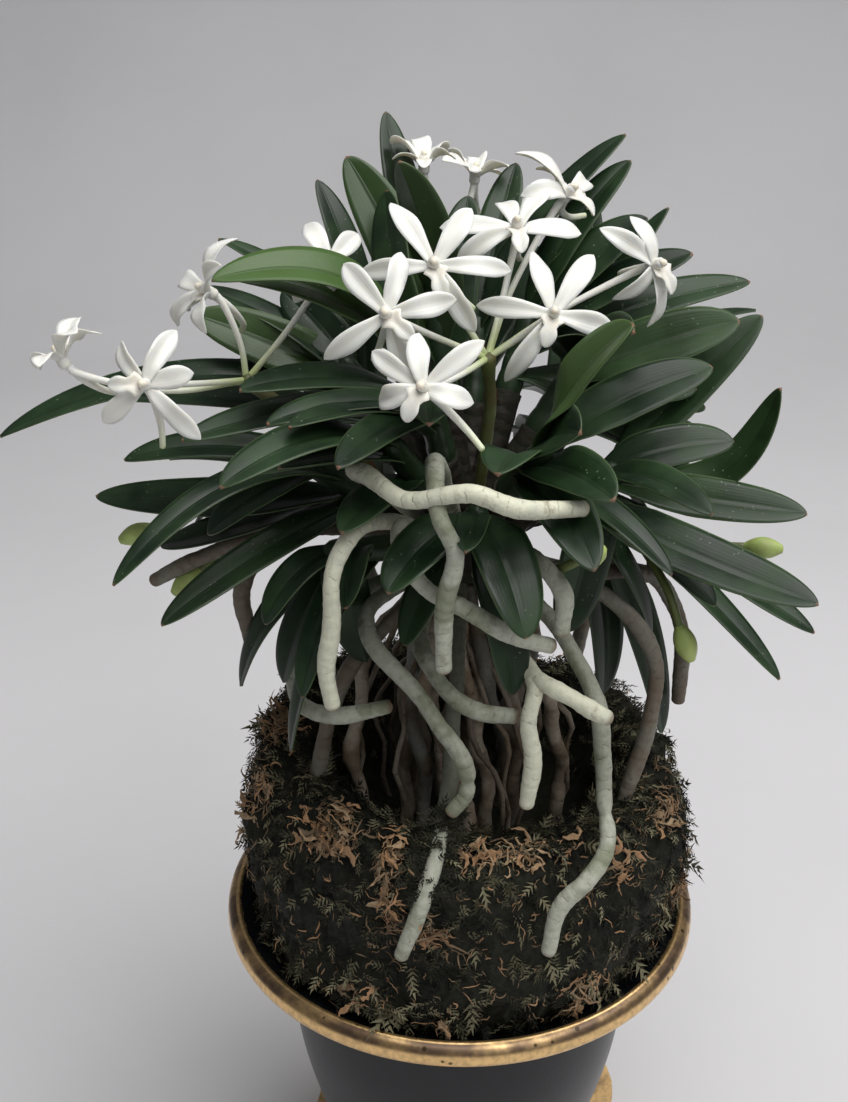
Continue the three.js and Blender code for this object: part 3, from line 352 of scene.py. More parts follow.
class OrchidColours(bpy.types.PropertyGroup):
    """Colours of the plant's and the pot's finishes."""

    glaze: colour_value("Glaze", "Black glaze", (0.006, 0.007, 0.009))
    gold: colour_value("Gold", "Gold of the lip and feet", (0.82, 0.55, 0.25))
    worn_gold: colour_value("Worn gold", "Gold where it is rubbed brown", (0.10, 0.066, 0.050))
    # leaf_painted_shade and leaf_lit are the leaf's colour in painted shade and in painted light, not old and
    # grown leaves.
    leaf_painted_shade: colour_value("Leaf shade", "Old leaf", (0.0045, 0.0125, 0.0055))
    leaf_lit: colour_value("Leaf", "Grown leaf", (0.017, 0.043, 0.0135))
    leaf_young: colour_value("Young leaf", "Young leaf", (0.072, 0.135, 0.032))
    leaf_tip: colour_value("Leaf tip", "Dried tip", (0.17, 0.095, 0.055))
    root_silver: colour_value("Root", "Dry velamen", (0.46, 0.47, 0.39))
    root_green: colour_value("Root mottle", "Green showing through the velamen", (0.21, 0.23, 0.15))
    root_tan: colour_value("Old root", "Old, dead velamen", (0.185, 0.135, 0.088))
    petal: colour_value("Petal", "Flower white", (0.77, 0.765, 0.715))
    throat: colour_value("Throat", "Cream of the column", (0.76, 0.67, 0.53))
    petal_green: colour_value("Flower green", "Spur tips and pedicels", (0.38, 0.47, 0.13))
    stalk: colour_value("Stalk", "Flower stalk", (0.10, 0.12, 0.035))
    bract: colour_value("Bract", "Dry bracts", (0.13, 0.050, 0.022))
    bud: colour_value("Bud", "Unopened bud", (0.42, 0.52, 0.16))
    # The moss's own wet dark, also used as painted shade between the fronds and the tufts.
    moss_wet_and_shaded: colour_value("Moss shade", "Wet moss", (0.0055, 0.0065, 0.0040))
    moss_olive: colour_value("Moss", "Live moss", (0.088, 0.080, 0.044))
    moss_pale: colour_value("Pale moss", "Bleached moss shoots", (0.25, 0.23, 0.14))
    dead_tan: colour_value("Dead moss", "Pale dead moss", (0.54, 0.385, 0.235))
    dead_rust: colour_value("Dead moss shade", "Rusty dead moss", (0.36, 0.20, 0.10))
    bark: colour_value("Bark", "Old wood and sheaths", (0.016, 0.012, 0.008))
    floor: colour_value("Floor", "Pale floor", (0.62, 0.615, 0.63))


# ------------------------------------------------------------------ objects and meshes

def lone(obj):
    """Makes obj the only selected object, and the active one."""
    if bpy.context.object and bpy.context.object.mode != "OBJECT":
        bpy.ops.object.mode_set(mode="OBJECT")
    bpy.ops.object.select_all(action="DESELECT")
    obj.select_set(True)
    bpy.context.view_layer.objects.active = obj
    return obj


def fresh(name):
    """Names the object that a primitive operator has just added."""
    obj = bpy.context.active_object
    obj.name = name
    obj.data.name = name
    return obj


def deselect():
    if bpy.context.object and bpy.context.object.mode != "OBJECT":
        bpy.ops.object.mode_set(mode="OBJECT")
    bpy.ops.object.select_all(action="DESELECT")


def with_modifier(obj, kind, **settings):
    """Adds one modifier to obj and applies it."""
    lone(obj)
    modifier = obj.modifiers.new(kind.title(), kind)
    for key, value in settings.items():
        setattr(modifier, key, value)
    bpy.ops.object.modifier_apply(modifier=modifier.name)
    return obj


def copy_of(blank, name):
    obj = bpy.data.objects.new(name, blank.data.copy())
    bpy.context.collection.objects.link(obj)
    return obj


def corners(mesh):
    flat = np.empty(len(mesh.vertices) * 3)
    mesh.vertices.foreach_get("co", flat)
    return flat.reshape(-1, 3)


def move_corners(mesh, places):
    mesh.vertices.foreach_set("co", np.asarray(places, float).ravel())
    mesh.update()


def paint(mesh, name, values):
    """Keeps one number for each corner of the mesh, which the materials read."""
    layer = mesh.attributes.get(name) or mesh.attributes.new(name, "FLOAT", "POINT")
    full = np.broadcast_to(np.asarray(values, float), len(mesh.vertices))
    layer.data.foreach_set("value", np.ascontiguousarray(full, np.float32))


def joined(parts, name):
    """Joins the parts into one object with that name."""
    lone(parts[0])
    for part in parts[1:]:
        part.select_set(True)
    if len(parts) > 1:
        bpy.ops.object.join()
    return fresh(name)


def smooth(obj, angle=None):
    lone(obj)
    if angle is None:
        bpy.ops.object.shade_smooth()
    else:
        bpy.ops.object.shade_smooth_by_angle(angle=math.radians(angle))


def settle(obj, slot, *nodes):
    """Hands a finished piece to the frame: it rides on the root, in place of those nodes, which it hides. The
    slot is not used.
    """
    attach(obj, "root")
    if nodes:
        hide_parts(*nodes)


def dress(obj, *materials):
    obj.data.materials.clear()
    for material in materials:
        obj.data.materials.append(material)


def in_metres(places):
    """From millimetres about the pot's axis and rim to metres in the frame."""
    return ORIGIN + np.asarray(places, float) * MM


def unit(ways):
    """The directions, made 1 long."""
    return ways / np.linalg.norm(ways, axis=-1, keepdims=True)


def smoothstep(value, low, high):
    t = np.clip((value - low) / (high - low), 0, 1)
    return t * t * (3 - 2 * t)


# ------------------------------------------------------------------ blanks

def blade_blank(name, across, along):
    """A flat slab, -1 to 1 across, 0 to 1 along and 1 thick, that every leaf or tepal is shaped from."""
    deselect()
    bpy.ops.mesh.primitive_grid_add(x_subdivisions=across, y_subdivisions=along, size=2, location=(0, 0, 0))
    blank = fresh(name)
    bpy.ops.object.mode_set(mode="EDIT")
    bpy.ops.mesh.select_all(action="SELECT")
    bpy.ops.transform.translate(value=(0, 1, 0))
    bpy.ops.transform.resize(value=(1, 0.5, 1), center_override=(0, 0, 0))
    bpy.ops.object.mode_set(mode="OBJECT")
    with_modifier(blank, "SOLIDIFY", thickness=1, offset=0)
    smooth(blank)
    return blank


def limb_blank(name, sides, rings):
    """A closed round bar, 1 in radius, its rings 1 apart, that every root, stalk or spur is shaped from."""
    deselect()
    bpy.ops.mesh.primitive_circle_add(vertices=sides, radius=1, fill_type="NGON", location=(0, 0, 0))
    blank = fresh(name)
    bpy.ops.object.mode_set(mode="EDIT")
    bpy.ops.mesh.select_all(action="SELECT")
    for _ in range(rings):
        bpy.ops.mesh.extrude_region_move(TRANSFORM_OT_translate={"value": (0, 0, 1)})
    bpy.ops.mesh.select_all(action="SELECT")
    bpy.ops.mesh.normals_make_consistent(inside=False)
    bpy.ops.object.mode_set(mode="OBJECT")
    smooth(blank)
    return blank


BLANKS = {}


def blank(name):
    """The blank of that name, made the first time that it is asked for."""
    makers = {
        "leaf": lambda: blade_blank("leaf_blank", 10, 30),
        "tepal": lambda: blade_blank("tepal_blank", 6, 14),
        "root": lambda: limb_blank("root_blank", 14, 104),
        "old_root": lambda: limb_blank("old_root_blank", 10, 48),
        "twig": lambda: limb_blank("twig_blank", 10, 24),
    }
    if name not in BLANKS:
        BLANKS[name] = makers[name]()
    return BLANKS[name]


def clear_blanks():
    for obj in BLANKS.values():
        bpy.data.objects.remove(obj)
    BLANKS.clear()


# ------------------------------------------------------------------ curves

class Line:
    """A smooth curve through points, measured in millimetres along its length, and straight past its ends."""

    STEPS = 20
    OVERHANG = 6.0
    REACH = 0.3
    SIDEWAYS = (0.31, 0.17, 0.93)

    def __init__(self, points):
        spots = [np.array(p, float) for p in points]
        spots = [2 * spots[0] - spots[1], *spots, 2 * spots[-1] - spots[-2]]
        dense = []
        for a, b, c, d in zip(spots, spots[1:], spots[2:], spots[3:]):
            gaps = [max(np.linalg.norm(q - p), 1e-4) ** 0.5 for p, q in ((a, b), (b, c), (c, d))]
            out = (b - a) / gaps[0] - (c - a) / (gaps[0] + gaps[1]) + (c - b) / gaps[1]
            back = (c - b) / gaps[1] - (d - b) / (gaps[1] + gaps[2]) + (d - c) / gaps[2]
            out, back = out * gaps[1], back * gaps[1]
            for step in range(self.STEPS):
                t = step / self.STEPS
                square, cube = 3 * (c - b) - 2 * out - back, 2 * (b - c) + out + back
                dense.append(b + out * t + square * t * t + cube * t**3)
        dense.append(spots[-2])
        dense = np.array(dense)
        ways = np.concatenate([[0], np.cumsum(np.linalg.norm(np.diff(dense, axis=0), axis=1))])
        self.length = ways[-1]
        first = (dense[1] - dense[0]) / (ways[1] - ways[0])
        last = (dense[-1] - dense[-2]) / (ways[-1] - ways[-2])
        self.places = np.vstack([dense[0] - first * self.OVERHANG, dense, dense[-1] + last * self.OVERHANG])
        self.ways = np.concatenate([[-self.OVERHANG], ways, [self.length + self.OVERHANG]])

    def at(self, ways):
        return np.stack([np.interp(ways, self.ways, self.places[:, axis]) for axis in range(3)], axis=-1)

    def frames(self, ways):
        """Directions along the curve and two across it that don't twist."""
        along = unit(self.at(np.asarray(ways) + self.REACH) - self.at(np.asarray(ways) - self.REACH))
        side = np.cross(along[0], self.SIDEWAYS)
        sides = []
        for direction in along:
            side = unit(side - direction * side.dot(direction))
            sides.append(side)
        sides = np.array(sides)
        return along, sides, np.cross(along, sides)


DOME_TURNS = (86, 66, 44, 21)  # degrees from a limb's side to the rings of its rounded end


def limb(kind, name, points, radius_at, dome=0.7, unevenness=0.0, seed=0, ribs=0.0, wiggle=0.0):
    """A round limb along a smooth line. The radius in millimetres is a function of the share of the way."""
    obj = copy_of(blank(kind), name)
    bare = corners(obj.data)
    rings = int(round(bare[:, 2].max()))
    line = points if isinstance(points, Line) else Line(points)
    turns = np.radians(DOME_TURNS)
    body = np.linspace(0, line.length, rings + 1 - 2 * len(turns))
    start = -np.sin(turns) * dome * radius_at(0.0)
    end = line.length + np.sin(turns[::-1]) * dome * radius_at(1.0)
    ways = np.concatenate([start, body, end])
    narrowing = np.concatenate([np.cos(turns), np.ones(len(body)), np.cos(turns[::-1])])
    shares = np.clip(ways / line.length, 0, 1)
    radii = np.array([radius_at(share) for share in shares]) * narrowing
    _, sides, others = line.frames(ways)
    ring = np.rint(bare[:, 2]).astype(int)
    angle = np.arctan2(bare[:, 1], bare[:, 0])
    way = ways[ring]
    rough = (np.sin(3 * angle + 0.9 * way + seed) + np.sin(2 * angle - 0.55 * way + 2 * seed)
             + 0.8 * np.sin(0.31 * way + 3 * seed) + 0.7 * np.sin(5 * angle + 1.7 * way))
    ribbed = ribs * np.sin(2.4 * way + 1.4 * np.sin(0.7 * way + seed) + 0.25 * np.sin(angle + seed))
    radius = radii[ring] * (1 + unevenness * rough + ribbed)
    free = wiggle * np.sin(math.pi * shares)[:, None]
    wander = sides * np.sin(0.33 * ways + 1.7 * seed)[:, None]
    wander = wander + others * np.sin(0.24 * ways + 2.9 * seed)[:, None]
    places = (line.at(ways) + free * wander)[ring]
    places = places + sides[ring] * (bare[:, 0] * radius)[:, None]
    places = places + others[ring] * (bare[:, 1] * radius)[:, None]
    move_corners(obj.data, in_metres(places))
    paint(obj.data, "along", way)
    paint(obj.data, "share", shares[ring])
    paint(obj.data, "to_end", line.length - way)
    return obj


CLOSER_TO_RIB, CLOSER_TO_TIP = 1.2, 1.6  # powers that crowd a blade's corners there
RIB_WIDTHS = (0.16, 0.14)  # of the groove over a rib and the keel under it, as shares of the half width


def blade(kind, name, curve, face, half_at, thickness, fold, roll=0.0, groove=0.0, keel=0.0, taper=0.35,
          wave=0.0):
    """A folded blade along a curve of three points: its rib runs along it and its face looks to face."""
    obj = copy_of(blank(kind), name)
    bare = corners(obj.data)
    across = np.sign(bare[:, 0]) * np.abs(bare[:, 0]) ** CLOSER_TO_RIB
    share = np.clip(1 - (1 - np.clip(bare[:, 1], 0, 1)) ** CLOSER_TO_TIP, 0, 0.9995)
    first, middle, last = (np.array(p, float) for p in curve)
    t = share[:, None]
    centre = first * (1 - t) ** 2 + middle * 2 * t * (1 - t) + last * t**2
    along = unit((middle - first) * (1 - t) + (last - middle) * t)
    side = unit(np.cross(np.array(face, float), along))
    turn = (roll * np.minimum(1, share * 2))[:, None]
    side = side * np.cos(turn) + np.cross(along, side) * np.sin(turn)
    normal = np.cross(along, side)
    half = half_at(share)
    depth = thickness / 2 * (1 - 0.72 * np.abs(across) ** 1.6) * (1 - taper * share)
    upper = bare[:, 2] > 0
    rise = fold * half * np.abs(across) + wave * np.sin(share * 9) * across * half
    groove_at, keel_at = (np.exp(-((across / width) ** 2)) * (1 - share**3) for width in RIB_WIDTHS)
    lift = np.where(upper, depth - groove * groove_at, -depth - keel * keel_at)
    places = centre + side * (across * half)[:, None] + normal * (rise + lift)[:, None]
    move_corners(obj.data, in_metres(places))
    paint(obj.data, "across", across)
    paint(obj.data, "share", share)
    paint(obj.data, "under", np.where(upper, 0, 1))
    return obj


# ------------------------------------------------------------------ shader helpers

def node_in(tree, kind, inputs=None, **settings):
    """Adds a node, sets it, and feeds its inputs with numbers or with other nodes' outputs."""
    node = tree.nodes.new("ShaderNode" + kind)
    for key, value in settings.items():
        setattr(node, key, value)
    for key, value in (inputs or {}).items():
        if isinstance(value, bpy.types.NodeSocket):
            tree.links.new(value, node.inputs[key])
        else:
            node.inputs[key].default_value = value
    return node


def maths(tree, operation, *values, clamp=False):
    return node_in(tree, "Math", dict(enumerate(values)), operation=operation, use_clamp=clamp).outputs[0]


def times(tree, first, second, clamp=False):
    return maths(tree, "MULTIPLY", first, second, clamp=clamp)


def plus(tree, first, second):
    return maths(tree, "ADD", first, second)


def span(tree, value, low, high, to_low=0.0, to_high=1.0):
    """A smooth step of value from low to high."""
    inputs = {"Value": value, "From Min": low, "From Max": high, "To Min": to_low, "To Max": to_high}
    return node_in(tree, "MapRange", inputs, interpolation_type="SMOOTHSTEP").outputs["Result"]


def opaque(colour):
    return colour if isinstance(colour, bpy.types.NodeSocket) else (*tuple(colour)[:3], 1.0)


def tint(tree, under, over, mask, amount=1.0):
    """The colour under, with the colour over laid on it where the mask is 1, by that amount."""
    factor = mask if amount == 1.0 else times(tree, mask, amount)
    return node_in(tree, "Mix", {0: factor, 6: opaque(under), 7: opaque(over)}, data_type="RGBA").outputs[2]


def scaled(colour, *ratios):
    """The colour with each part times its ratio, or all times the only one, and none over 1."""
    ratios = ratios * 3 if len(ratios) == 1 else ratios
    return tuple(min(1.0, part * ratio) for part, ratio in zip(colour, ratios))


def attribute(tree, name):
    return node_in(tree, "Attribute", attribute_name=name).outputs["Fac"]


def object_place(tree):
    return node_in(tree, "TexCoord").outputs["Object"]


def noise(tree, scale, vector=None, detail=4.0, roughness=0.55):
    place = object_place(tree) if vector is None else vector
    inputs = {"Vector": place, "Scale": scale, "Detail": detail, "Roughness": roughness}
    return node_in(tree, "TexNoise", inputs).outputs["Fac"]


def new_group(name, inputs, outputs):
    """An empty node group with those sockets. Returns the tree, its input node and its output node."""
    tree = bpy.data.node_groups.new(name, "ShaderNodeTree")
    for label, default in inputs.items():
        socket = tree.interface.new_socket(name=label, in_out="INPUT", socket_type="NodeSocketFloat")
        socket.default_value = default
    for label in outputs:
        tree.interface.new_socket(name=label, in_out="OUTPUT", socket_type="NodeSocketFloat")
    return tree, tree.nodes.new("NodeGroupInput"), tree.nodes.new("NodeGroupOutput")


def mottle_group():
    """Soft patches: where a noise of that scale lies between low and high."""
    tree, given, put = new_group("Mottle", {"Scale": 300.0, "Low": 0.45, "High": 0.6}, ["Mask"])
    value = noise(tree, given.outputs["Scale"], detail=5.0)
    inputs = {"Value": value, "From Min": given.outputs["Low"], "From Max": given.outputs["High"]}
    mask = node_in(tree, "MapRange", inputs, interpolation_type="SMOOTHSTEP").outputs["Result"]
    tree.links.new(mask, put.inputs["Mask"])
    return tree


def rings_group():
    """Thin uneven cracks round a root, and the swelling between them, from the way along it."""
    tree, given, put = new_group("Growth rings", {"Way": 0.0, "Spacing": 2.0}, ["Cracks", "Swell"])
    wander = times(tree, noise(tree, 260.0), 1.3)
    count = plus(tree, maths(tree, "DIVIDE", given.outputs["Way"], given.outputs["Spacing"]), wander)
    part = maths(tree, "ABSOLUTE", maths(tree, "SUBTRACT", maths(tree, "FRACT", count), 0.5))
    cracks = span(tree, part, 0.44, 0.5)
    chosen = span(tree, noise(tree, 420.0, detail=2.0), 0.5, 0.62)
    tree.links.new(times(tree, cracks, chosen), put.inputs["Cracks"])
    tree.links.new(maths(tree, "SUBTRACT", 0.5, part), put.inputs["Swell"])
    return tree


def streaks_group():
    """Fine veins that run along a blade, from the place across it and the share of its length."""
    inputs = {"Across": 0.0, "Share": 0.0, "Count": 14.0}
    tree, given, put = new_group("Long veins", inputs, ["Veins", "Streaks"])
    sideways = times(tree, given.outputs["Across"], given.outputs["Count"])
    vector = node_in(tree, "CombineXYZ", {0: sideways, 1: times(tree, given.outputs["Share"], 1.6)})
    waves = maths(tree, "SINE", times(tree, sideways, math.pi))
    tree.links.new(maths(tree, "MULTIPLY_ADD", waves, 0.5, 0.5), put.inputs["Veins"])
    tree.links.new(noise(tree, 1.0, vector.outputs[0], detail=3.0), put.inputs["Streaks"])
    return tree


def specks_group():
    """Small scattered specks, where a cell's own draw is above the given share."""
    tree, given, put = new_group("Specks", {"Scale": 900.0, "Rarity": 0.8, "Size": 0.2}, ["Mask"])
    cells = node_in(tree, "TexVoronoi", {"Vector": object_place(tree), "Scale": given.outputs["Scale"]})
    near = maths(tree, "LESS_THAN", cells.outputs["Distance"], given.outputs["Size"])
    draw = node_in(tree, "SeparateColor", {"Color": cells.outputs["Color"]}).outputs[0]
    chosen = maths(tree, "GREATER_THAN", draw, given.outputs["Rarity"])
    tree.links.new(times(tree, near, chosen), put.inputs["Mask"])
    return tree


GROUPS = {}
GROUP_MAKERS = {
    "Mottle": mottle_group, "Growth rings": rings_group, "Long veins": streaks_group, "Specks": specks_group,
}


def use_group(tree, name, inputs):
    if name not in GROUPS:
        GROUPS[name] = GROUP_MAKERS[name]()
    return node_in(tree, "Group", inputs, node_tree=GROUPS[name]).outputs


def mottle(tree, scale, low, high):
    return use_group(tree, "Mottle", {"Scale": scale, "Low": low, "High": high})["Mask"]


def specks(tree, scale, rarity, size):
    return use_group(tree, "Specks", {"Scale": scale, "Rarity": rarity, "Size": size})["Mask"]


def new_material(name, **settings):
    """A material with one Principled BSDF, whose plain values are given by name."""
    material = bpy.data.materials.new(name)
    material.use_nodes = True
    tree = material.node_tree
    shader = tree.nodes["Principled BSDF"]
    for key, value in settings.items():
        shader.inputs[key.replace("_", " ").title().replace("Ior", "IOR")].default_value = value
    return material, tree, shader


def link(tree, shader, **inputs):
    for key, socket in inputs.items():
        tree.links.new(socket, shader.inputs[key.replace("_", " ").title()])


def bump(tree, shader, height, distance, strength=1.0):
    inputs = {"Height": height, "Distance": distance, "Strength": strength}
    tree.links.new(node_in(tree, "Bump", inputs).outputs["Normal"], shader.inputs["Normal"])


# ------------------------------------------------------------------ materials

# Where the gold band, its worn top and the satin wall start and are whole, in millimetres.
BAND_RADIUS, BAND_HEIGHT = (55.3, 55.6), (-3.7, -3.2)
WORN_RADIUS, WORN_HEIGHT = (56.5, 56.9), (0.3, 1.3)
WALL_HEIGHT = (-7, -11)
BAND_RAGGED = 1.6
PIT_BROWN, GLAZE_DUST, WALL_BLACK = (0.03, 0.02, 0.01), (0.025, 0.027, 0.032), (0.0035, 0.0045, 0.007)


def glaze_material(colours):
    """Black glaze, glossy in the dish and satin on the wall, with a rubbed gold band round the lip."""
    material, tree, shader = new_material(
        "Glaze and gold", specular_ior_level=0.35, coat_weight=0.12, coat_roughness=0.1)
    centred = node_in(tree, "Mapping", {"Vector": object_place(tree), "Location": tuple(-AXIS)})
    x, y, z = node_in(tree, "SeparateXYZ", {0: centred.outputs[0]}).outputs
    past = lambda value, limits: span(tree, value, limits[0] * MM, limits[1] * MM)
    radius = maths(tree, "SQRT", plus(tree, times(tree, x, x), times(tree, y, y)))
    rough = noise(tree, 420.0, detail=6.0)
    ragged = maths(tree, "MULTIPLY_ADD", rough, BAND_RAGGED * MM, -BAND_RAGGED / 2 * MM)
    band = times(tree, past(plus(tree, radius, ragged), BAND_RADIUS), past(z, BAND_HEIGHT))
    top = times(tree, past(z, WORN_HEIGHT), past(radius, WORN_RADIUS))
    rubbed = mottle(tree, scale=110, low=0.3, high=0.62)
    worn = times(tree, top, maths(tree, "MULTIPLY_ADD", rubbed, 0.6, 0.35), clamp=True)
    pits = specks(tree, scale=520, rarity=0.9, size=0.3)
    brushed = mottle(tree, scale=700, low=0.35, high=0.7)
    gold = tint(tree, colours.gold, colours.worn_gold, brushed, 0.35)
    gold = tint(tree, gold, colours.worn_gold, worn)
    gold = tint(tree, gold, PIT_BROWN, pits, 0.8)
    wall = past(z, WALL_HEIGHT)
    black = tint(tree, colours.glaze, WALL_BLACK, wall, 0.8)
    black = tint(tree, black, GLAZE_DUST, mottle(tree, scale=60, low=0.4, high=0.7), 0.2)
    gloss, metal_gloss = span(tree, wall, 0, 1, 0.09, 0.36), span(tree, worn, 0, 1, 0.3, 0.48)
    roughness = node_in(tree, "Mix", {0: band, 2: gloss, 3: metal_gloss}, data_type="FLOAT").outputs[0]
    link(tree, shader, base_color=tint(tree, black, gold, band), metallic=times(tree, band, 0.92),
         roughness=roughness)
    height = plus(tree, times(tree, noise(tree, 90.0), 0.5), times(tree, band, 0.35))
    bump(tree, shader, plus(tree, height, times(tree, brushed, 0.06)), 0.35 * MM, 0.5)
    return material


def gilt_material(colours):
    """Gold on the feet, rubbed brown in places."""
    material, tree, shader = new_material("Gilt feet", metallic=0.92)
    rubbed = mottle(tree, scale=130, low=0.48, high=0.72)
    colour = tint(tree, colours.gold, colours.worn_gold, rubbed, 0.7)
    colour = tint(tree, colour, colours.worn_gold, mottle(tree, scale=800, low=0.4, high=0.7), 0.25)
    link(tree, shader, base_color=colour, roughness=span(tree, rubbed, 0, 1, 0.3, 0.5))
    bump(tree, shader, noise(tree, 180.0), 0.3 * MM, 0.4)
    return material


# EDGE_HIGHLIGHT_GREEN is a painted highlight along a leaf's edges.
RIB_GREEN, EDGE_HIGHLIGHT_GREEN, UNDER_GREEN = (0.01, 0.02, 0.008), (0.11, 0.16, 0.07), (0.028, 0.050, 0.022)
LEAF_DUST = (0.30, 0.34, 0.26)


def leaf_material(colours):
    """Dark, waxy leaves: patches of painted shade and painted light, fine veins, a painted highlight along
    the edge, dusty specks, a dried tip, yellower when young.
    """
    material, tree, shader = new_material(
        "Leaf", specular_ior_level=0.34, coat_weight=0.06, coat_roughness=0.3)
    across, share = attribute(tree, "across"), attribute(tree, "share")
    veins = use_group(tree, "Long veins", {"Across": across, "Share": share, "Count": 15.0})
    patches = mottle(tree, scale=70, low=0.35, high=0.7)
    # Patches of painted shade and painted light: the leaf's shaded and lit colours, laid at random.
    green = tint(tree, colours.leaf_painted_shade, colours.leaf_lit, patches)
    green = tint(tree, green, colours.leaf_young, span(tree, attribute(tree, "shade"), 0.2, 1.0))
    green = tint(tree, green, colours.leaf_lit, veins["Streaks"], 0.2)
    off_rib = maths(tree, "ABSOLUTE", across)
    rib = maths(tree, "SUBTRACT", 1.0, span(tree, off_rib, 0.02, 0.10))
    green = tint(tree, green, RIB_GREEN, rib, 0.35)
    # A painted highlight along the leaf's edges.
    green = tint(tree, green, EDGE_HIGHLIGHT_GREEN, span(tree, off_rib, 0.92, 1.0), 0.5)
    dusty = times(tree, mottle(tree, scale=45, low=0.45, high=0.6), 0.4)
    green = tint(tree, green, LEAF_DUST, specks(tree, scale=1100, rarity=0.86, size=0.22), dusty)
    green = tint(tree, green, UNDER_GREEN, attribute(tree, "under"), 0.4)
    jitter = times(tree, noise(tree, 400.0), 0.03)
    colour = tint(tree, green, colours.leaf_tip, span(tree, plus(tree, share, jitter), 1.004, 1.014))
    uneven = plus(tree, patches, times(tree, veins["Streaks"], 0.6))
    link(tree, shader, base_color=colour, roughness=span(tree, uneven, 0.2, 1.5, 0.36, 0.54))
    height = plus(tree, times(tree, veins["Veins"], 0.16), times(tree, rib, -1.2))
    height = plus(tree, height, times(tree, noise(tree, 500.0), 0.5))
    bump(tree, shader, height, 0.10 * MM, 0.55)
    return material


CRACK_BROWN, STAIN_BROWN, END_BROWN = (0.10, 0.07, 0.045), (0.17, 0.11, 0.06), (0.16, 0.095, 0.05)


def root_material(name, light, mottled, cracks, spacing, patchy):
    """Velamen: silvery or tan, mottled, with thin cracks round it and a stained end."""
    material, tree, shader = new_material(name, specular_ior_level=0.35)
    rings = use_group(tree, "Growth rings", {"Way": attribute(tree, "along"), "Spacing": spacing})
    broad = mottle(tree, scale=90, low=0.62 - patchy, high=0.78 - patchy)
    fine = mottle(tree, scale=900, low=0.42, high=0.68)
    colour = tint(tree, tint(tree, light, mottled, broad), mottled, fine, 0.28)
    colour = tint(tree, colour, scaled(light, 1.15), rings["Swell"], 0.35)
    colour = tint(tree, colour, CRACK_BROWN, rings["Cracks"], cracks)
    colour = tint(tree, colour, STAIN_BROWN, mottle(tree, scale=240, low=0.62, high=0.72), 0.45)
    colour = tint(tree, colour, scaled(mottled, 0.3), attribute(tree, "tone"))
    colour = tint(tree, colour, END_BROWN, span(tree, attribute(tree, "to_end"), 0.6, -0.9), 0.75)
    link(tree, shader, base_color=colour, roughness=span(tree, fine, 0, 1, 0.55, 0.8))
    height = plus(tree, times(tree, rings["Swell"], 1.2), times(tree, fine, -0.25))
    height = plus(tree, height, times(tree, rings["Cracks"], -0.8))
    bump(tree, shader, plus(tree, height, times(tree, broad, -0.4)), 0.22 * MM, 0.8)
    return material


def petal_material(colours):
    """White flower tissue with faint veins, a cream column and a green tint where the piece says so."""
    material, tree, shader = new_material(
        "Petal", subsurface_weight=0.3, subsurface_radius=(1.0, 0.8, 0.5), subsurface_scale=1.2 * MM,
        sheen_weight=0.12, sheen_roughness=0.5, specular_ior_level=0.4)
    across, share = attribute(tree, "across"), attribute(tree, "share")
    veins = use_group(tree, "Long veins", {"Across": across, "Share": share, "Count": 7.0})
    colour = tint(tree, colours.petal, scaled(colours.petal, 0.82), veins["Streaks"], 0.12)
    colour = tint(tree, colour, colours.throat, attribute(tree, "throat"))
    green = plus(tree, attribute(tree, "green"), times(tree, noise(tree, 300.0), 0.2))
    colour = tint(tree, colour, colours.petal_green, span(tree, green, 0.12, 1.1))
    speckle = mottle(tree, scale=1300, low=0.4, high=0.7)
    link(tree, shader, base_color=colour, roughness=span(tree, speckle, 0, 1, 0.42, 0.6))
    height = plus(tree, times(tree, veins["Veins"], 0.5), times(tree, speckle, 0.3))
    bump(tree, shader, height, 0.035 * MM, 0.5)
    return material


STALK_BROWN = (0.10, 0.07, 0.03)


def stalk_material(colours):
    """Green stalks that redden, with dry bracts where the piece says so."""
    material, tree, shader = new_material("Stalk")
    patches = mottle(tree, scale=160, low=0.4, high=0.65)
    colour = tint(tree, colours.stalk, STALK_BROWN, patches, 0.6)
    colour = tint(tree, colour, colours.bract, attribute(tree, "dry"))
    link(tree, shader, base_color=colour, roughness=span(tree, patches, 0, 1, 0.42, 0.62))
    bump(tree, shader, noise(tree, 700.0), 0.12 * MM, 0.5)
    return material


def bud_material(colours):
    """Yellow green buds with darker patches."""
    material, tree, shader = new_material("Bud", subsurface_weight=0.15, subsurface_scale=1.0 * MM)
    patches = mottle(tree, scale=220, low=0.35, high=0.65)
    colour = tint(tree, colours.bud, scaled(colours.bud, 0.55), patches, 0.6)
    colour = tint(tree, colour, colours.stalk, span(tree, attribute(tree, "green"), 0, 1))
    link(tree, shader, base_color=colour, roughness=span(tree, patches, 0, 1, 0.35, 0.55))
    bump(tree, shader, noise(tree, 600.0), 0.1 * MM, 0.4)
    return material


def moss_material(name, dark, light, dead):
    """Moss: dark between, as wet moss and painted shade, lighter where a piece's own shade value says so,
    which on the live fronds is partly painted light.
    """
    material, tree, shader = new_material(name, specular_ior_level=0.25)
    patches = mottle(tree, scale=45, low=0.35, high=0.65)
    fine = mottle(tree, scale=600, low=0.35, high=0.7)
    lit = times(tree, maths(tree, "MULTIPLY_ADD", patches, 0.6, 0.4), attribute(tree, "shade"))
    colour = tint(tree, tint(tree, dark, light, lit), dark, fine, 0.4)
    colour = tint(tree, colour, dead, attribute(tree, "dead"))
    link(tree, shader, base_color=colour, roughness=span(tree, fine, 0, 1, 0.7, 0.95))
    bump(tree, shader, noise(tree, 900.0), 0.4 * MM, 0.8)
    return material


BARK_GREEN, SHEATH_BROWN = (0.012, 0.015, 0.008), (0.05, 0.036, 0.022)


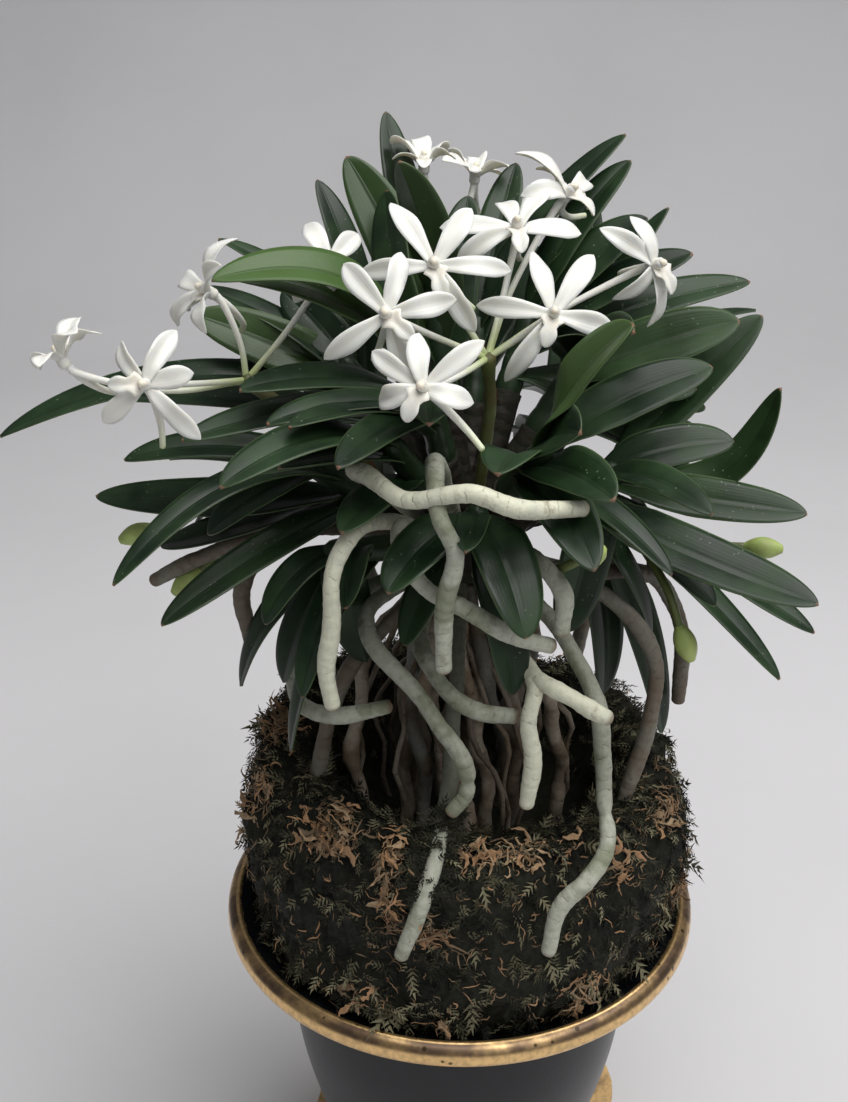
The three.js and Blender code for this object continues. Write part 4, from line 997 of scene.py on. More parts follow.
def bark_material(colours):
    """Old wood under dry, ringed leaf sheaths."""
    material, tree, shader = new_material("Bark", specular_ior_level=0.3)
    rings = use_group(tree, "Growth rings", {"Way": attribute(tree, "along"), "Spacing": 3.2})
    patches = mottle(tree, scale=200, low=0.35, high=0.65)
    colour = tint(tree, colours.bark, BARK_GREEN, patches)
    colour = tint(tree, colour, SHEATH_BROWN, rings["Swell"], 0.5)
    link(tree, shader, base_color=colour, roughness=span(tree, patches, 0, 1, 0.6, 0.85))
    bump(tree, shader, plus(tree, rings["Swell"], times(tree, noise(tree, 500.0), 0.8)), 0.5 * MM, 0.8)
    return material


def floor_material(colours):
    """A pale, matt floor that runs up behind."""
    material, tree, shader = new_material("Floor", roughness=0.85, specular_ior_level=0.2)
    patches = mottle(tree, scale=6, low=0.3, high=0.8)
    link(tree, shader, base_color=tint(tree, colours.floor, scaled(colours.floor, 0.94), patches))
    return material


# ------------------------------------------------------------------ pot

def turned(name, profile, sides, closed):
    """A turned piece: a ring drawn from one profile point to the next, and joined up if it is closed."""
    deselect()
    radius, height = profile[0]
    centre = AXIS + Vector((0, 0, height * MM))
    bpy.ops.mesh.primitive_circle_add(vertices=sides, radius=radius * MM, location=centre)
    obj = fresh(name)
    bpy.ops.object.transform_apply(location=True, rotation=True, scale=True)
    bpy.ops.object.mode_set(mode="EDIT")
    bpy.ops.mesh.select_all(action="SELECT")
    for (last_radius, last_height), (radius, height) in zip(profile, profile[1:]):
        move = {"value": (0, 0, (height - last_height) * MM)}
        bpy.ops.mesh.extrude_region_move(TRANSFORM_OT_translate=move)
        ratio = radius / last_radius
        bpy.ops.transform.resize(value=(ratio, ratio, 1), center_override=AXIS)
    if closed:
        bpy.ops.object.mode_set(mode="OBJECT")
        count = len(obj.data.vertices)
        for index, vertex in enumerate(obj.data.vertices):
            vertex.select = index < sides or index >= count - sides
        for edge in obj.data.edges:
            edge.select = all(obj.data.vertices[v].select for v in edge.vertices)
        bpy.ops.object.mode_set(mode="EDIT")
        bpy.ops.mesh.bridge_edge_loops()
    else:
        bpy.ops.mesh.edge_face_add()
        bpy.ops.object.mode_set(mode="OBJECT")
        for index, vertex in enumerate(obj.data.vertices):
            vertex.select = index < sides
        bpy.ops.object.mode_set(mode="EDIT")
        bpy.ops.mesh.edge_face_add()
    bpy.ops.mesh.select_all(action="SELECT")
    bpy.ops.mesh.normals_make_consistent(inside=False)
    bpy.ops.object.mode_set(mode="OBJECT")
    return obj


def pot_foot(name):
    """A bracket under the pot: one section drawn down and out to the floor, with its edges rounded."""
    deselect()
    height, inner, outer, width = FOOT_SECTIONS[0]
    bpy.ops.mesh.primitive_plane_add(size=MM, location=AXIS + Vector(((inner + outer) / 2, 0, height)) * MM)
    foot = fresh(name)
    bpy.ops.object.transform_apply(location=True, rotation=True, scale=True)
    bpy.ops.object.mode_set(mode="EDIT")
    bpy.ops.mesh.select_all(action="SELECT")
    middle = AXIS + Vector(((inner + outer) / 2, 0, height)) * MM
    bpy.ops.transform.resize(value=(outer - inner, width, 1), center_override=middle)
    for before, after in zip(FOOT_SECTIONS, FOOT_SECTIONS[1:]):
        shift = (sum(after[1:3]) - sum(before[1:3])) / 2
        step = Vector((shift, 0, after[0] - before[0])) * MM
        bpy.ops.mesh.extrude_region_move(TRANSFORM_OT_translate={"value": step})
        middle = AXIS + Vector((sum(after[1:3]) / 2, 0, after[0])) * MM
        ratio = (after[2] - after[1]) / (before[2] - before[1])
        bpy.ops.transform.resize(value=(ratio, after[3] / before[3], 1), center_override=middle)
    bpy.ops.mesh.select_all(action="SELECT")
    bpy.ops.mesh.normals_make_consistent(inside=False)
    bpy.ops.object.mode_set(mode="OBJECT")
    with_modifier(foot, "BEVEL", width=FOOT_ROUNDING * MM, segments=3, limit_method="ANGLE",
                  angle_limit=math.radians(40))
    smooth(foot, 50)
    return foot


def make_pot(colours):
    body = turned("pot_body", POT_PROFILE, POT_SIDES, True)
    with_modifier(body, "SUBSURF", levels=1, render_levels=1)
    smooth(body)
    dress(body, glaze_material(colours))
    first = pot_foot("pot_foot")
    dress(first, gilt_material(colours))
    feet = []
    for angle in FOOT_ANGLES:
        foot = copy_of(first, "pot_foot_copy")
        turn = Matrix.Rotation(math.radians(angle), 4, "Z")
        foot.data.transform(Matrix.Translation(AXIS) @ turn @ Matrix.Translation(-AXIS))
        feet.append(foot)
    bpy.data.objects.remove(first)
    pot = joined([body, *feet], "glazed_pot")
    settle(pot, "glaze", "pot")


# ------------------------------------------------------------------ moss

def moss_lump(angle, height, radius, lump):
    """Lumps that fade out towards the pot and towards the middle of the hollow."""
    coarse = np.sin(5 * angle + 0.11 * height) + np.sin(3 * angle - 0.16 * height + 1.7)
    fine = np.sin(11 * angle + 0.35 * height) * np.cos(7 * angle - 0.27 * height)
    crumb = np.sin(31 * angle + 1.1 * height) * np.sin(0.9 * height - 19 * angle)
    crumb = crumb + 0.8 * np.sin(53 * angle - 1.7 * height) * np.cos(1.9 * height + 37 * angle)
    shape = 0.55 * coarse + 0.7 * fine + 0.3 * crumb
    return lump * smoothstep(height, -6, 12) * smoothstep(radius, 6, 30) * shape


def on_mound(angle, place, lump):
    """A point of the mound's skin, in millimetres. Place runs up the outer side and over the top, 0 to 1."""
    outer = np.array(MOSS_SKIN, float)
    spot = np.asarray(place) * (len(outer) - 1)
    radius, height = (np.interp(spot, np.arange(len(outer)), outer[:, axis]) for axis in range(2))
    return lumpy(radius * np.cos(angle), radius * np.sin(angle), height, lump)


def lumpy(x, y, z, lump):
    radius = np.hypot(x, y)
    angle = np.arctan2(y, x)
    swell = moss_lump(angle, z, radius, lump)
    lean = smoothstep(z, 5, MOSS_TOP) * MOSS_LEAN * (x / MOSS_RADIUS)
    ratio = 1 + swell / np.maximum(radius, 1)
    shift = MOSS_SHIFT * smoothstep(z, 0, 12)
    return np.stack([x * ratio + shift, y * ratio, z - lean + 0.5 * swell], axis=-1)


def ring_by_ring(places):
    """The order of the corners up the axis and round it: Blender's own order differs from run to run."""
    radius = np.hypot(places[:, 0], places[:, 1])
    angle = np.where(radius > 0.1, np.degrees(np.arctan2(places[:, 1], places[:, 0])), 0)
    return np.lexsort((np.round(angle) % 360, np.round(radius, 1), np.round(places[:, 2], 1)))


def make_mound(sizes, colours):
    mound = turned("moss_mound", MOSS_PROFILE, MOSS_SIDES, False)
    with_modifier(mound, "SUBSURF", levels=1, render_levels=1)
    places = (corners(mound.data) - ORIGIN) / MM
    above = places[:, 2] > LUMPS_FROM
    grain = np.empty(len(places))
    grain[ring_by_ring(places)] = np.random.default_rng(3).normal(0, MOSS_GRAIN, len(places))
    places[above] = lumpy(*places[above].T, sizes.moss_lump / MM)
    off_axis = np.maximum(np.hypot(places[:, 0], places[:, 1]), 4)
    places[:, :2] *= (1 + np.where(above, grain, 0) / off_axis)[:, None]
    move_corners(mound.data, in_metres(places))
    smooth(mound)
    # The bed shows between the fronds; its low shade value keeps it dark as painted shade.
    paint(mound.data, "shade", 0.1)
    paint(mound.data, "dead", 0.0)
    dress(mound, moss_material("Moss bed", colours.moss_wet_and_shaded, colours.moss_olive, colours.dead_rust))
    settle(mound, "moss", "moss")


FROND_LEAFLETS = 7
OVERGROWN_FRONDS = 420
BLEACHED_SHARE = 0.10
UPRIGHT_SHARE = 0.05
STRAND_STEPS = 7
STRAND_THICKEST = 0.22
LOOSE_STRANDS = 900
SCRAP_SHARE = 0.4


def frond_blank():
    """One moss shoot, 1 long: small pointed leaves in pairs along it and one at its end."""
    deselect()
    leaflets = []
    for index in range(FROND_LEAFLETS):
        share = index / (FROND_LEAFLETS - 1)
        bpy.ops.mesh.primitive_cone_add(vertices=3, radius1=0.07, radius2=0, depth=0.4, location=(0, 0, 0.2))
        leaflet = fresh("frond_leaflet")
        bpy.ops.object.transform_apply(location=True, rotation=True, scale=True)
        side = -1 if index % 2 else 1
        lean = 0.0 if share == 1 else side * math.radians(58 - 22 * share)
        turn = Matrix.Rotation(lean, 4, "Y") @ Matrix.Diagonal((1.0, 0.45, 1.0 - 0.25 * share, 1.0))
        leaflet.data.transform(Matrix.Translation((0, 0.04 * side, 0.62 * share)) @ turn)
        leaflets.append(leaflet)
        leaflet.select_set(False)
    return joined(leaflets, "frond_blank")


def moss_piece(name, places, faces, shades, deads):
    """A mesh from lists of places in millimetres, with how light and how dead each of its corners is."""
    mesh = bpy.data.meshes.new(name)
    mesh.from_pydata(in_metres(np.concatenate(places)), [], faces)
    mesh.update()
    obj = bpy.data.objects.new(name, mesh)
    bpy.context.collection.objects.link(obj)
    paint(mesh, "shade", np.concatenate(shades))
    paint(mesh, "dead", np.concatenate(deads))
    return obj


def scattered(blank_mesh, name, rows):
    """One mesh with a copy of the blank at each row: place, direction, way it faces, size, shade, dead."""
    bare = corners(blank_mesh)
    own_faces = [tuple(face.vertices) for face in blank_mesh.polygons]
    count = len(bare)
    places, faces, shades, deads = [], [], [], []
    for index, (spot, way, out, size, shade, dead) in enumerate(rows):
        side = unit(np.cross(out, way))
        back = -np.cross(way, side)
        bent = bare.copy()
        bent[:, 1] += 0.35 * bare[:, 2] ** 2
        places.append(spot + size * (bent[:, :1] * side + bent[:, 1:2] * back + bent[:, 2:] * way))
        faces.extend(tuple(corner + index * count for corner in face) for face in own_faces)
        shades.append(np.full(count, shade))
        deads.append(np.full(count, dead))
    return moss_piece(name, places, faces, shades, deads)


def mound_spot(angle, place, lump):
    """A place on the mound, with the way out of it and the way down it."""
    spot = on_mound(angle, place, lump)
    round_it = on_mound(angle + 0.01, place, lump) - spot
    down = on_mound(angle, max(place - 0.01, 0), lump) - on_mound(angle, min(place + 0.01, 1), lump)
    return spot, unit(np.cross(down, round_it)), unit(down)


def mound_frond(draw, sizes):
    """One shoot on the mound: longer in tufts and lighter there by painted light, darker between them by
    painted shade, and bleached in flocks near the lip.
    """
    angle, place = draw.uniform(-math.pi, math.pi), draw.uniform(0.0, 0.96)
    spot, out, down = mound_spot(angle, place, sizes.moss_lump / MM)
    turn = draw.gauss(0, 1.2)
    level = down * math.cos(turn) + np.cross(out, down) * math.sin(turn)
    way = unit(level + out * draw.uniform(0.1, 1.1))
    # The tufts' lightness is painted light, and the dark of the fronds between them painted shade.
    tuft = math.sin(angle * 27 + 13 * place) * math.sin(place * 55 - angle * 11)
    tuft += 0.7 * math.sin(angle * 9 + 4 * place) * math.sin(place * 23 - angle * 5)
    shade = min(1.0, max(0.0, draw.gauss(0.10 + 0.62 * tuft, 0.16)))
    flock = math.sin(angle * 7 + 11 * place) + math.sin(angle * 17 - 29 * place + 1) - 1.2
    flock += 0.9 * (place < 0.3)
    bleached = draw.random() < BLEACHED_SHARE + 0.3 * max(0.0, flock)
    dead = draw.uniform(0.3, 0.9) if bleached else 0.0
    size = sizes.frond_length / MM * (draw.uniform(0.5, 1.2) + 0.35 * max(0.0, tuft) + 0.3 * bleached)
    if draw.random() < UPRIGHT_SHARE:
        way, size = unit(way * 0.5 + out), size * 1.4
    return spot - out * 0.5, way, out, size, shade, dead


def overgrowing_frond(draw):
    """One shoot on the moss that lies over the half buried root."""
    ridge, foot = (np.array(point) for point in OVERGROWN)
    spot = ridge + (foot - ridge) * draw.random() + np.array([draw.gauss(0, 1.6), 0, draw.gauss(0, 1.2)])
    out = unit(np.array([draw.gauss(0, 0.35), -1.0, draw.uniform(0.3, 1.2)]))
    way = unit(np.array([draw.gauss(0, 0.9), draw.uniform(-0.5, 0.1), draw.uniform(-1.0, 0.5)]))
    return spot + out * draw.uniform(0.4, 1.8), way, out, draw.uniform(2.5, 5), draw.uniform(0, 0.5), 0.0


def make_fronds(sizes, colours):
    """Live moss, nearly black with painted shade between tufts lightened by painted light, with bleached
    shoots in small flocks that thicken towards the lip.
    """
    shoot = frond_blank()
    material = moss_material("Moss fronds", colours.moss_wet_and_shaded, colours.moss_olive, colours.moss_pale)
    draw = random.Random(11)
    rows = [mound_frond(draw, sizes) for _ in range(sizes.frond_count)]
    rows += [overgrowing_frond(draw) for _ in range(OVERGROWN_FRONDS)]
    half = len(rows) // 2
    for name, part in (("moss_fronds", rows[:half]), ("moss_fronds_more", rows[half:])):
        fronds = scattered(shoot.data, name, part)
        dress(fronds, material)
        settle(fronds, "moss")
    bpy.data.objects.remove(shoot)


def strand(draw, spot, out, down, length, hanging, width, ragged):
    """One flat strip of dead moss, as a three-sided bar. A ragged one is torn along its edges."""
    round_it = np.cross(out, down)
    heading = draw.gauss(0, 0.5) + (0 if draw.random() < hanging else draw.choice((-1.5, 1.5)))
    place = spot + out * draw.uniform(0.1, 1.6)
    lean = draw.uniform(-0.3, 0.6)
    rings = []
    for step in range(STRAND_STEPS + 1):
        way = unit(down * math.cos(heading) + round_it * math.sin(heading) + out * lean)
        side = unit(np.cross(out, way))
        slim = width * (0.15 + math.sin(math.pi * (0.08 + 0.86 * step / STRAND_STEPS)))
        left, right = (slim * (1 + ragged * draw.uniform(-0.8, 0.9)) for _ in range(2))
        top = np.cross(way, side) * min(slim * 0.5, STRAND_THICKEST)
        rings.append([place + side * left, place - side * right, place + top])
        place = place + way * (length / STRAND_STEPS)
        heading += draw.gauss(0, 0.65 - 0.2 * ragged)
        lean = max(-0.5, min(0.8, lean * 0.5 + draw.gauss(0, 0.45)))
    last = 3 * STRAND_STEPS
    faces = [(0, 1, 2), (last + 2, last + 1, last)]
    for base in range(0, last, 3):
        for a, b in ((0, 1), (1, 2), (2, 0)):
            faces.append((base + a, base + 3 + a, base + 3 + b, base + b))
    return np.array(rings).reshape(-1, 3), faces


def make_dead_moss(sizes, colours):
    """Tan and rusty scraps of dead moss with frayed threads, in clumps, and threads scattered thinly."""
    lump = sizes.moss_lump / MM
    heights = np.array(MOSS_SIDE, float)[:, 1]
    draw = random.Random(5)
    wanted = []
    for angle, height, wide, tall, count, hanging in DEAD_MOSS:
        for _ in range(count):
            wanted.append((draw.gauss(angle, wide / 2), draw.gauss(height, tall / 2), hanging, True))
    for _ in range(LOOSE_STRANDS):
        wanted.append((draw.uniform(-180, 180), draw.uniform(0, MOSS_TOP), 0.5, False))
    places, faces, shades, deads, start = [], [], [], [], 0
    for angle, height, hanging, clumped in wanted:
        spot_at = np.interp(height, heights, np.arange(len(heights))) / (len(MOSS_SKIN) - 1)
        spot, out, down = mound_spot(math.radians(angle), min(0.97, spot_at + draw.uniform(0, 0.05)), lump)
        scrap = clumped and draw.random() < SCRAP_SHARE
        length = draw.uniform(3, 7.5) if scrap else draw.uniform(2, 6)
        width = draw.uniform(0.2, 0.6) if scrap else draw.uniform(0.09, 0.22)
        tone, rust = draw.uniform(0.2, 1.0) ** 1.2, draw.choice((0.0, 0.15, 0.4, 0.75))
        if not clumped:
            length, tone = length * 0.75, tone * 0.6
        for piece in range(3 if scrap else 1):
            if piece:
                length, width = draw.uniform(1.5, 4.5), draw.uniform(0.1, 0.25)
            ragged = 1.0 if scrap and not piece else 0.2
            own, own_faces = strand(draw, spot, out, down, length, hanging, width, ragged)
            places.append(own)
            faces.extend(tuple(corner + start for corner in face) for face in own_faces)
            shades.append(np.full(len(own), tone * draw.uniform(0.7, 1.0)))
            deads.append(np.full(len(own), rust))
            start += len(own)
    strands = moss_piece("dead_moss", places, faces, shades, deads)
    lone(strands)
    bpy.ops.object.mode_set(mode="EDIT")
    bpy.ops.mesh.select_all(action="SELECT")
    bpy.ops.mesh.normals_make_consistent(inside=False)
    bpy.ops.object.mode_set(mode="OBJECT")
    smooth(strands, 50)
    dark = scaled(colours.dead_tan, 0.12)
    dress(strands, moss_material("Dead moss", dark, colours.dead_tan, colours.dead_rust))
    settle(strands, "moss")


# ------------------------------------------------------------------ crown and roots

def away_from_crown(foot):
    return (Vector(foot) - CROWN_CENTRE).normalized()


def stem_feet():
    return [stem[0] for stem in (*LEAFY_STEMS.values(), *BACK_STEMS.values())]


def make_crown(colours):
    """A lump of old wood with a sheathed branch to the foot of every leafy stem."""
    deselect()
    bpy.ops.mesh.primitive_ico_sphere_add(subdivisions=4, radius=1, location=(0, 0, 0))
    lump = fresh("crown_lump")
    bare = corners(lump.data)
    rough = np.sin(9 * bare[:, 0]) * np.sin(8 * bare[:, 1] + 1) * np.sin(7 * bare[:, 2] + 2)
    bare = bare * (CROWN_RADIUS * (1 + 0.09 * rough))[:, None] * (1, 1, 1.15)
    move_corners(lump.data, in_metres(bare + np.array(CROWN_CENTRE)))
    paint(lump.data, "along", bare[:, 2])
    smooth(lump)
    parts = [lump]
    for foot in stem_feet():
        start = CROWN_CENTRE + away_from_crown(foot) * CROWN_RADIUS * 0.6
        ringed = lambda share: 3.2 + 0.6 * (1 - share) + 0.3 * abs(math.sin(share * 14))
        parts.append(limb("twig", "crown_branch", [start, Vector(foot)], ringed, dome=0.1, unevenness=0.03,
                          seed=foot[0]))
    crown = joined(parts, "old_wood")
    dress(crown, bark_material(colours))
    settle(crown, "bark", "crown")


def live_root_radius(sizes, pinches=()):
    def radius_at(share):
        swell = 1 + 0.07 * math.sin(share * 17) - 0.25 * max(0, share - 0.85)
        for place in pinches:
            swell *= 1 - 0.3 * math.exp(-(((share - place) / 0.012) ** 2))
        return sizes.root_radius / MM * swell
    return radius_at


# How much darker a root is before and after a place along it, and the share of its length at that place.
# The dark upper stretch of root_half_buried is painted shade, which sinks it into the dark hollow.
ROOT_TONES = {
    "root_half_buried": (0.85, 0.12, 0.66), "root_long": (0.42, 0.05, 0.66), "root_grey": (0.45, 0.3, 0.8),
    "root_centre": (0.3, 0.12, 0.6), "root_short": (0.35, 0.15, 0.7), "root_hook": (0.5, 0.3, 0.5),
    "root_level": (0.5, 0.2, 0.5), "root_slant": (0.3, 0.05, 0.5), "root_bridge": (0.3, 0.0, 0.5),
    "root_pale": (0.3, 0.0, 0.45),
}
TONE_FADE = 0.1
ROOT_PINCHES = {"root_long": (0.66,), "root_grey": (0.9,)}


def make_live_roots(sizes, colours):
    cream = scaled(colours.root_silver, 1.3, 1.27, 1.2)
    ashy = scaled(colours.root_silver, 0.38, 0.35, 0.34)
    dull = scaled(colours.root_tan, 0.75, 0.8, 0.9)
    bare, wet = colours.root_silver, colours.root_green
    silver = root_material("Live root", bare, wet, 0.3, spacing=2.6, patchy=0.14)
    pale = root_material("Pale root", cream, bare, 0.25, spacing=2.6, patchy=0.1)
    # The dark grey material is partly the roots' own colour and partly painted shade for the roots behind and
    # in shade.
    grey = root_material("Grey and shaded root", ashy, dull, 0.5, spacing=2.6, patchy=0.22)
    for seed, (name, lines) in enumerate(LIVE_ROOTS.items()):
        radius_at = live_root_radius(sizes, ROOT_PINCHES.get(name, ()))
        parts = [limb("root", name, line, radius_at, unevenness=0.016, seed=seed, ribs=0.022, wiggle=0.25)
                 for line in lines]
        along = corners(blank("root").data)[:, 2]
        before, after, turn = ROOT_TONES.get(name, (0.0, 0.0, 0.5))
        darker = smoothstep(along / along.max(), turn + TONE_FADE, turn - TONE_FADE)
        for part in parts:
            paint(part.data, "tone", after + (before - after) * darker)
        root = joined(parts, name.replace("root", "velamen"))
        dress(root, pale if name in PALE_ROOTS else grey if name in GREY_AND_SHADED_ROOTS else silver)
        settle(root, "live_root", name)


OLD_BUNCHES = 5
OLD_ROOTS_A_BUNCH = 3
OLD_ROOT_TWIST = 0.8
OLD_ROOT_SPREAD = 46  # degrees round the crown, of one bunch
OLD_ROOT_HEIGHTS = (91, 72, 48)  # where an old root starts, bends and bends again
HOLLOW_FLOOR = 22.0
OLD_ROOT_DEPTH = 9.0
ROOTLET_RADIUS = 0.75


def seeded(seed):
    """The same draws as the model's own, so that every piece lies where its solid does."""
    state = float(seed)

    def draw(low, high):
        nonlocal state
        state = (state * 1103515245.0 + 12345.0) % 2147483648.0
        return low + (high - low) * (state / 2147483648.0)
    return draw


def old_root_lines(bunch):
    draw = seeded(100 + bunch)
    middle = math.radians(90 + 360 / OLD_BUNCHES * bunch)
    at = lambda radius, angle, height: (radius * math.cos(angle), radius * math.sin(angle), height)
    high, middling, low = OLD_ROOT_HEIGHTS
    lines = []
    for index in range(OLD_ROOTS_A_BUNCH):
        way = middle + (index / (OLD_ROOTS_A_BUNCH - 1) - 0.5) * math.radians(OLD_ROOT_SPREAD)
        reach = 12 + 12 * (index % 2) + draw(-1.5, 1.5)
        first = at(5 + 2.5 * (index % 2), way, high)
        second_angle = way + OLD_ROOT_TWIST * 0.3 + draw(-0.05, 0.05)
        second = at(reach * 0.75 + 3, second_angle, middling + draw(-3, 3))
        third_radius = reach + draw(0, 3)
        third_angle = way + OLD_ROOT_TWIST * 0.8 + draw(-0.05, 0.05)
        third = at(third_radius, third_angle, low + draw(-4, 4))
        lines.append([first, second, third, at(reach, way + OLD_ROOT_TWIST, HOLLOW_FLOOR - OLD_ROOT_DEPTH)])
    return lines


def rootlet(draw, line, seed):
    """A thin side root that leaves an old root high up and winds down beside it."""
    top, _, low, foot = (np.array(point) for point in line)
    high = Line(line).at(np.array([14.0]))[0]
    away = np.array([draw.uniform(-9, 9), draw.uniform(-9, 9), 0])
    end = foot * (0.8, 0.8, 1) + away * 0.7
    spots = [top * 0.3 + high * 0.7, (high + low) / 2 + away * 0.8, low + away, end]
    radius_at = lambda share: ROOTLET_RADIUS * (1 - share / 3)
    piece = limb("twig", "rootlet", spots, radius_at, unevenness=0.08, seed=seed, wiggle=1.2)
    paint(piece.data, "tone", draw.uniform(0.2, 0.9))
    return piece


def make_old_roots(sizes, colours):
    light = scaled(colours.root_tan, 2.3, 2.7, 3.3)
    ashy = scaled(colours.root_silver, 0.52, 0.53, 0.58)
    tan = root_material("Old root", light, colours.root_tan, 0.7, spacing=4.5, patchy=0.2)
    ash = root_material("Ashy old root", ashy, colours.root_tan, 0.5, spacing=3.5, patchy=0.16)
    draw = random.Random(23)
    for bunch in range(OLD_BUNCHES):
        radius_at = lambda share: sizes.old_root_radius / MM * (
            1 + 0.08 * math.sin(share * 23 + bunch) + 0.14 * max(0, math.sin(share * 31 + 2 * bunch)) ** 6)
        parts = []
        for index, line in enumerate(old_root_lines(bunch)):
            seed = bunch * OLD_ROOTS_A_BUNCH + index
            root = limb("old_root", "old_root", line, radius_at, unevenness=0.07, seed=seed, wiggle=0.9)
            paint(root.data, "tone", draw.choice((0.0, 0.12, 0.3, 0.6)))
            dress(root, ash if seed % 4 == 1 else tan)
            side_root = rootlet(draw, line, seed)
            dress(side_root, tan)
            parts += [root, side_root]
        roots = joined(parts, f"old_velamen_{bunch + 1}")
        settle(roots, "old_root", f"old_roots_{bunch + 1}")


# ------------------------------------------------------------------ stalks and buds

def scale_leaf(foot, way, seed):
    """A small dry bract, folded round the stalk."""
    side = way.cross(UP).normalized()
    face = side.cross(way).normalized() * (1 if seed % 2 else -1)
    start = Vector(foot) + face * 0.9
    middle = start + way * BRACT_LENGTH * 0.5 + face * BRACT_LENGTH * 0.22
    tip = start + way * BRACT_LENGTH + face * BRACT_LENGTH * 0.1
    half = lambda share: BRACT_WIDTH / 2 * (0.75 + 0.6 * share) * np.sqrt(1 - share**2)
    piece = blade("tepal", "bract", (start, middle, tip), face, half, thickness=0.5, fold=-0.5)
    paint(piece.data, "dry", 1.0)
    return piece


BRACT_LENGTH, BRACT_WIDTH = 6, 3.2
BRACT_SHARES = (0.35, 0.7, 0.93)  # of the stalk's length, where its bracts sit


def make_stalks(sizes, colours):
    material = stalk_material(colours)
    radius_at = lambda share: sizes.stalk_radius / MM * (1 + 3 * max(0, share - 0.88))
    for seed, (name, points) in enumerate(STALKS.items()):
        line = Line(points)
        stem = limb("twig", name, line, radius_at, unevenness=0.03)
        paint(stem.data, "dry", 0.0)
        parts = [stem]
        for index, share in enumerate(BRACT_SHARES):
            spot, ahead = line.at(np.array([share * line.length, share * line.length + 1]))
            way = Vector(ahead - spot).normalized()
            way.rotate(Quaternion((1, 0, 0), -0.45 + 0.5 * (index % 2)))
            parts.append(scale_leaf(spot, way, index + seed))
        stalk = joined(parts, name.replace("stalk", "flower_stalk"))
        dress(stalk, material)
        settle(stalk, "stalk", name)


BUD_LENGTH = 8.4


def make_buds(sizes, colours):
    material = bud_material(colours)
    for name, lines in BUD_SPRAYS.items():
        parts = []
        for line in lines:
            end, before = Vector(line[-1]), Vector(line[-2])
            tip = end + (end - before).normalized() * BUD_LENGTH
            stem = limb("twig", "bud_stalk", line, lambda share: 1.0)
            paint(stem.data, "green", 0.8)
            swell = lambda share: sizes.bud_radius / MM * math.sin(math.pi * (0.1 + 0.78 * share)) ** 0.85
            body = limb("twig", "bud_body", [end, tip], swell, dome=0.5)
            paint(body.data, "green", 0.0)
            parts += [stem, body]
        buds = joined(parts, name.replace("bud", "green_bud"))
        dress(buds, material)
        settle(buds, "bud", name)


# ------------------------------------------------------------------ blooms

def tepal_half(width):
    """Narrow at its foot, widest past the middle, with a blunt point."""
    def half(share):
        widening = 0.34 + 0.66 * smoothstep(share, -0.1, 0.6)
        narrowing = (1 - np.maximum(0, (share - 0.58) / 0.42) ** 2.2) ** 0.82
        return width / 2 * widening * narrowing
    return half


def lip_half(share):
    """Two small side lobes, a waist, and a tongue with a round end."""
    lobes = 1.5 * np.exp(-(((share - 0.3) / 0.12) ** 2))
    return (1.1 + lobes + 1.0 * smoothstep(share, 0.4, 0.75)) * np.sqrt(1 - share**4)


def tissue(piece, throat=0.0, green=0.0):
    """Says where the piece is cream like the column and where it is green."""
    paint(piece.data, "throat", throat)
    paint(piece.data, "green", green)
    return piece


LIP_THICKNESS = 0.8
CAP_RADIUS = 0.8


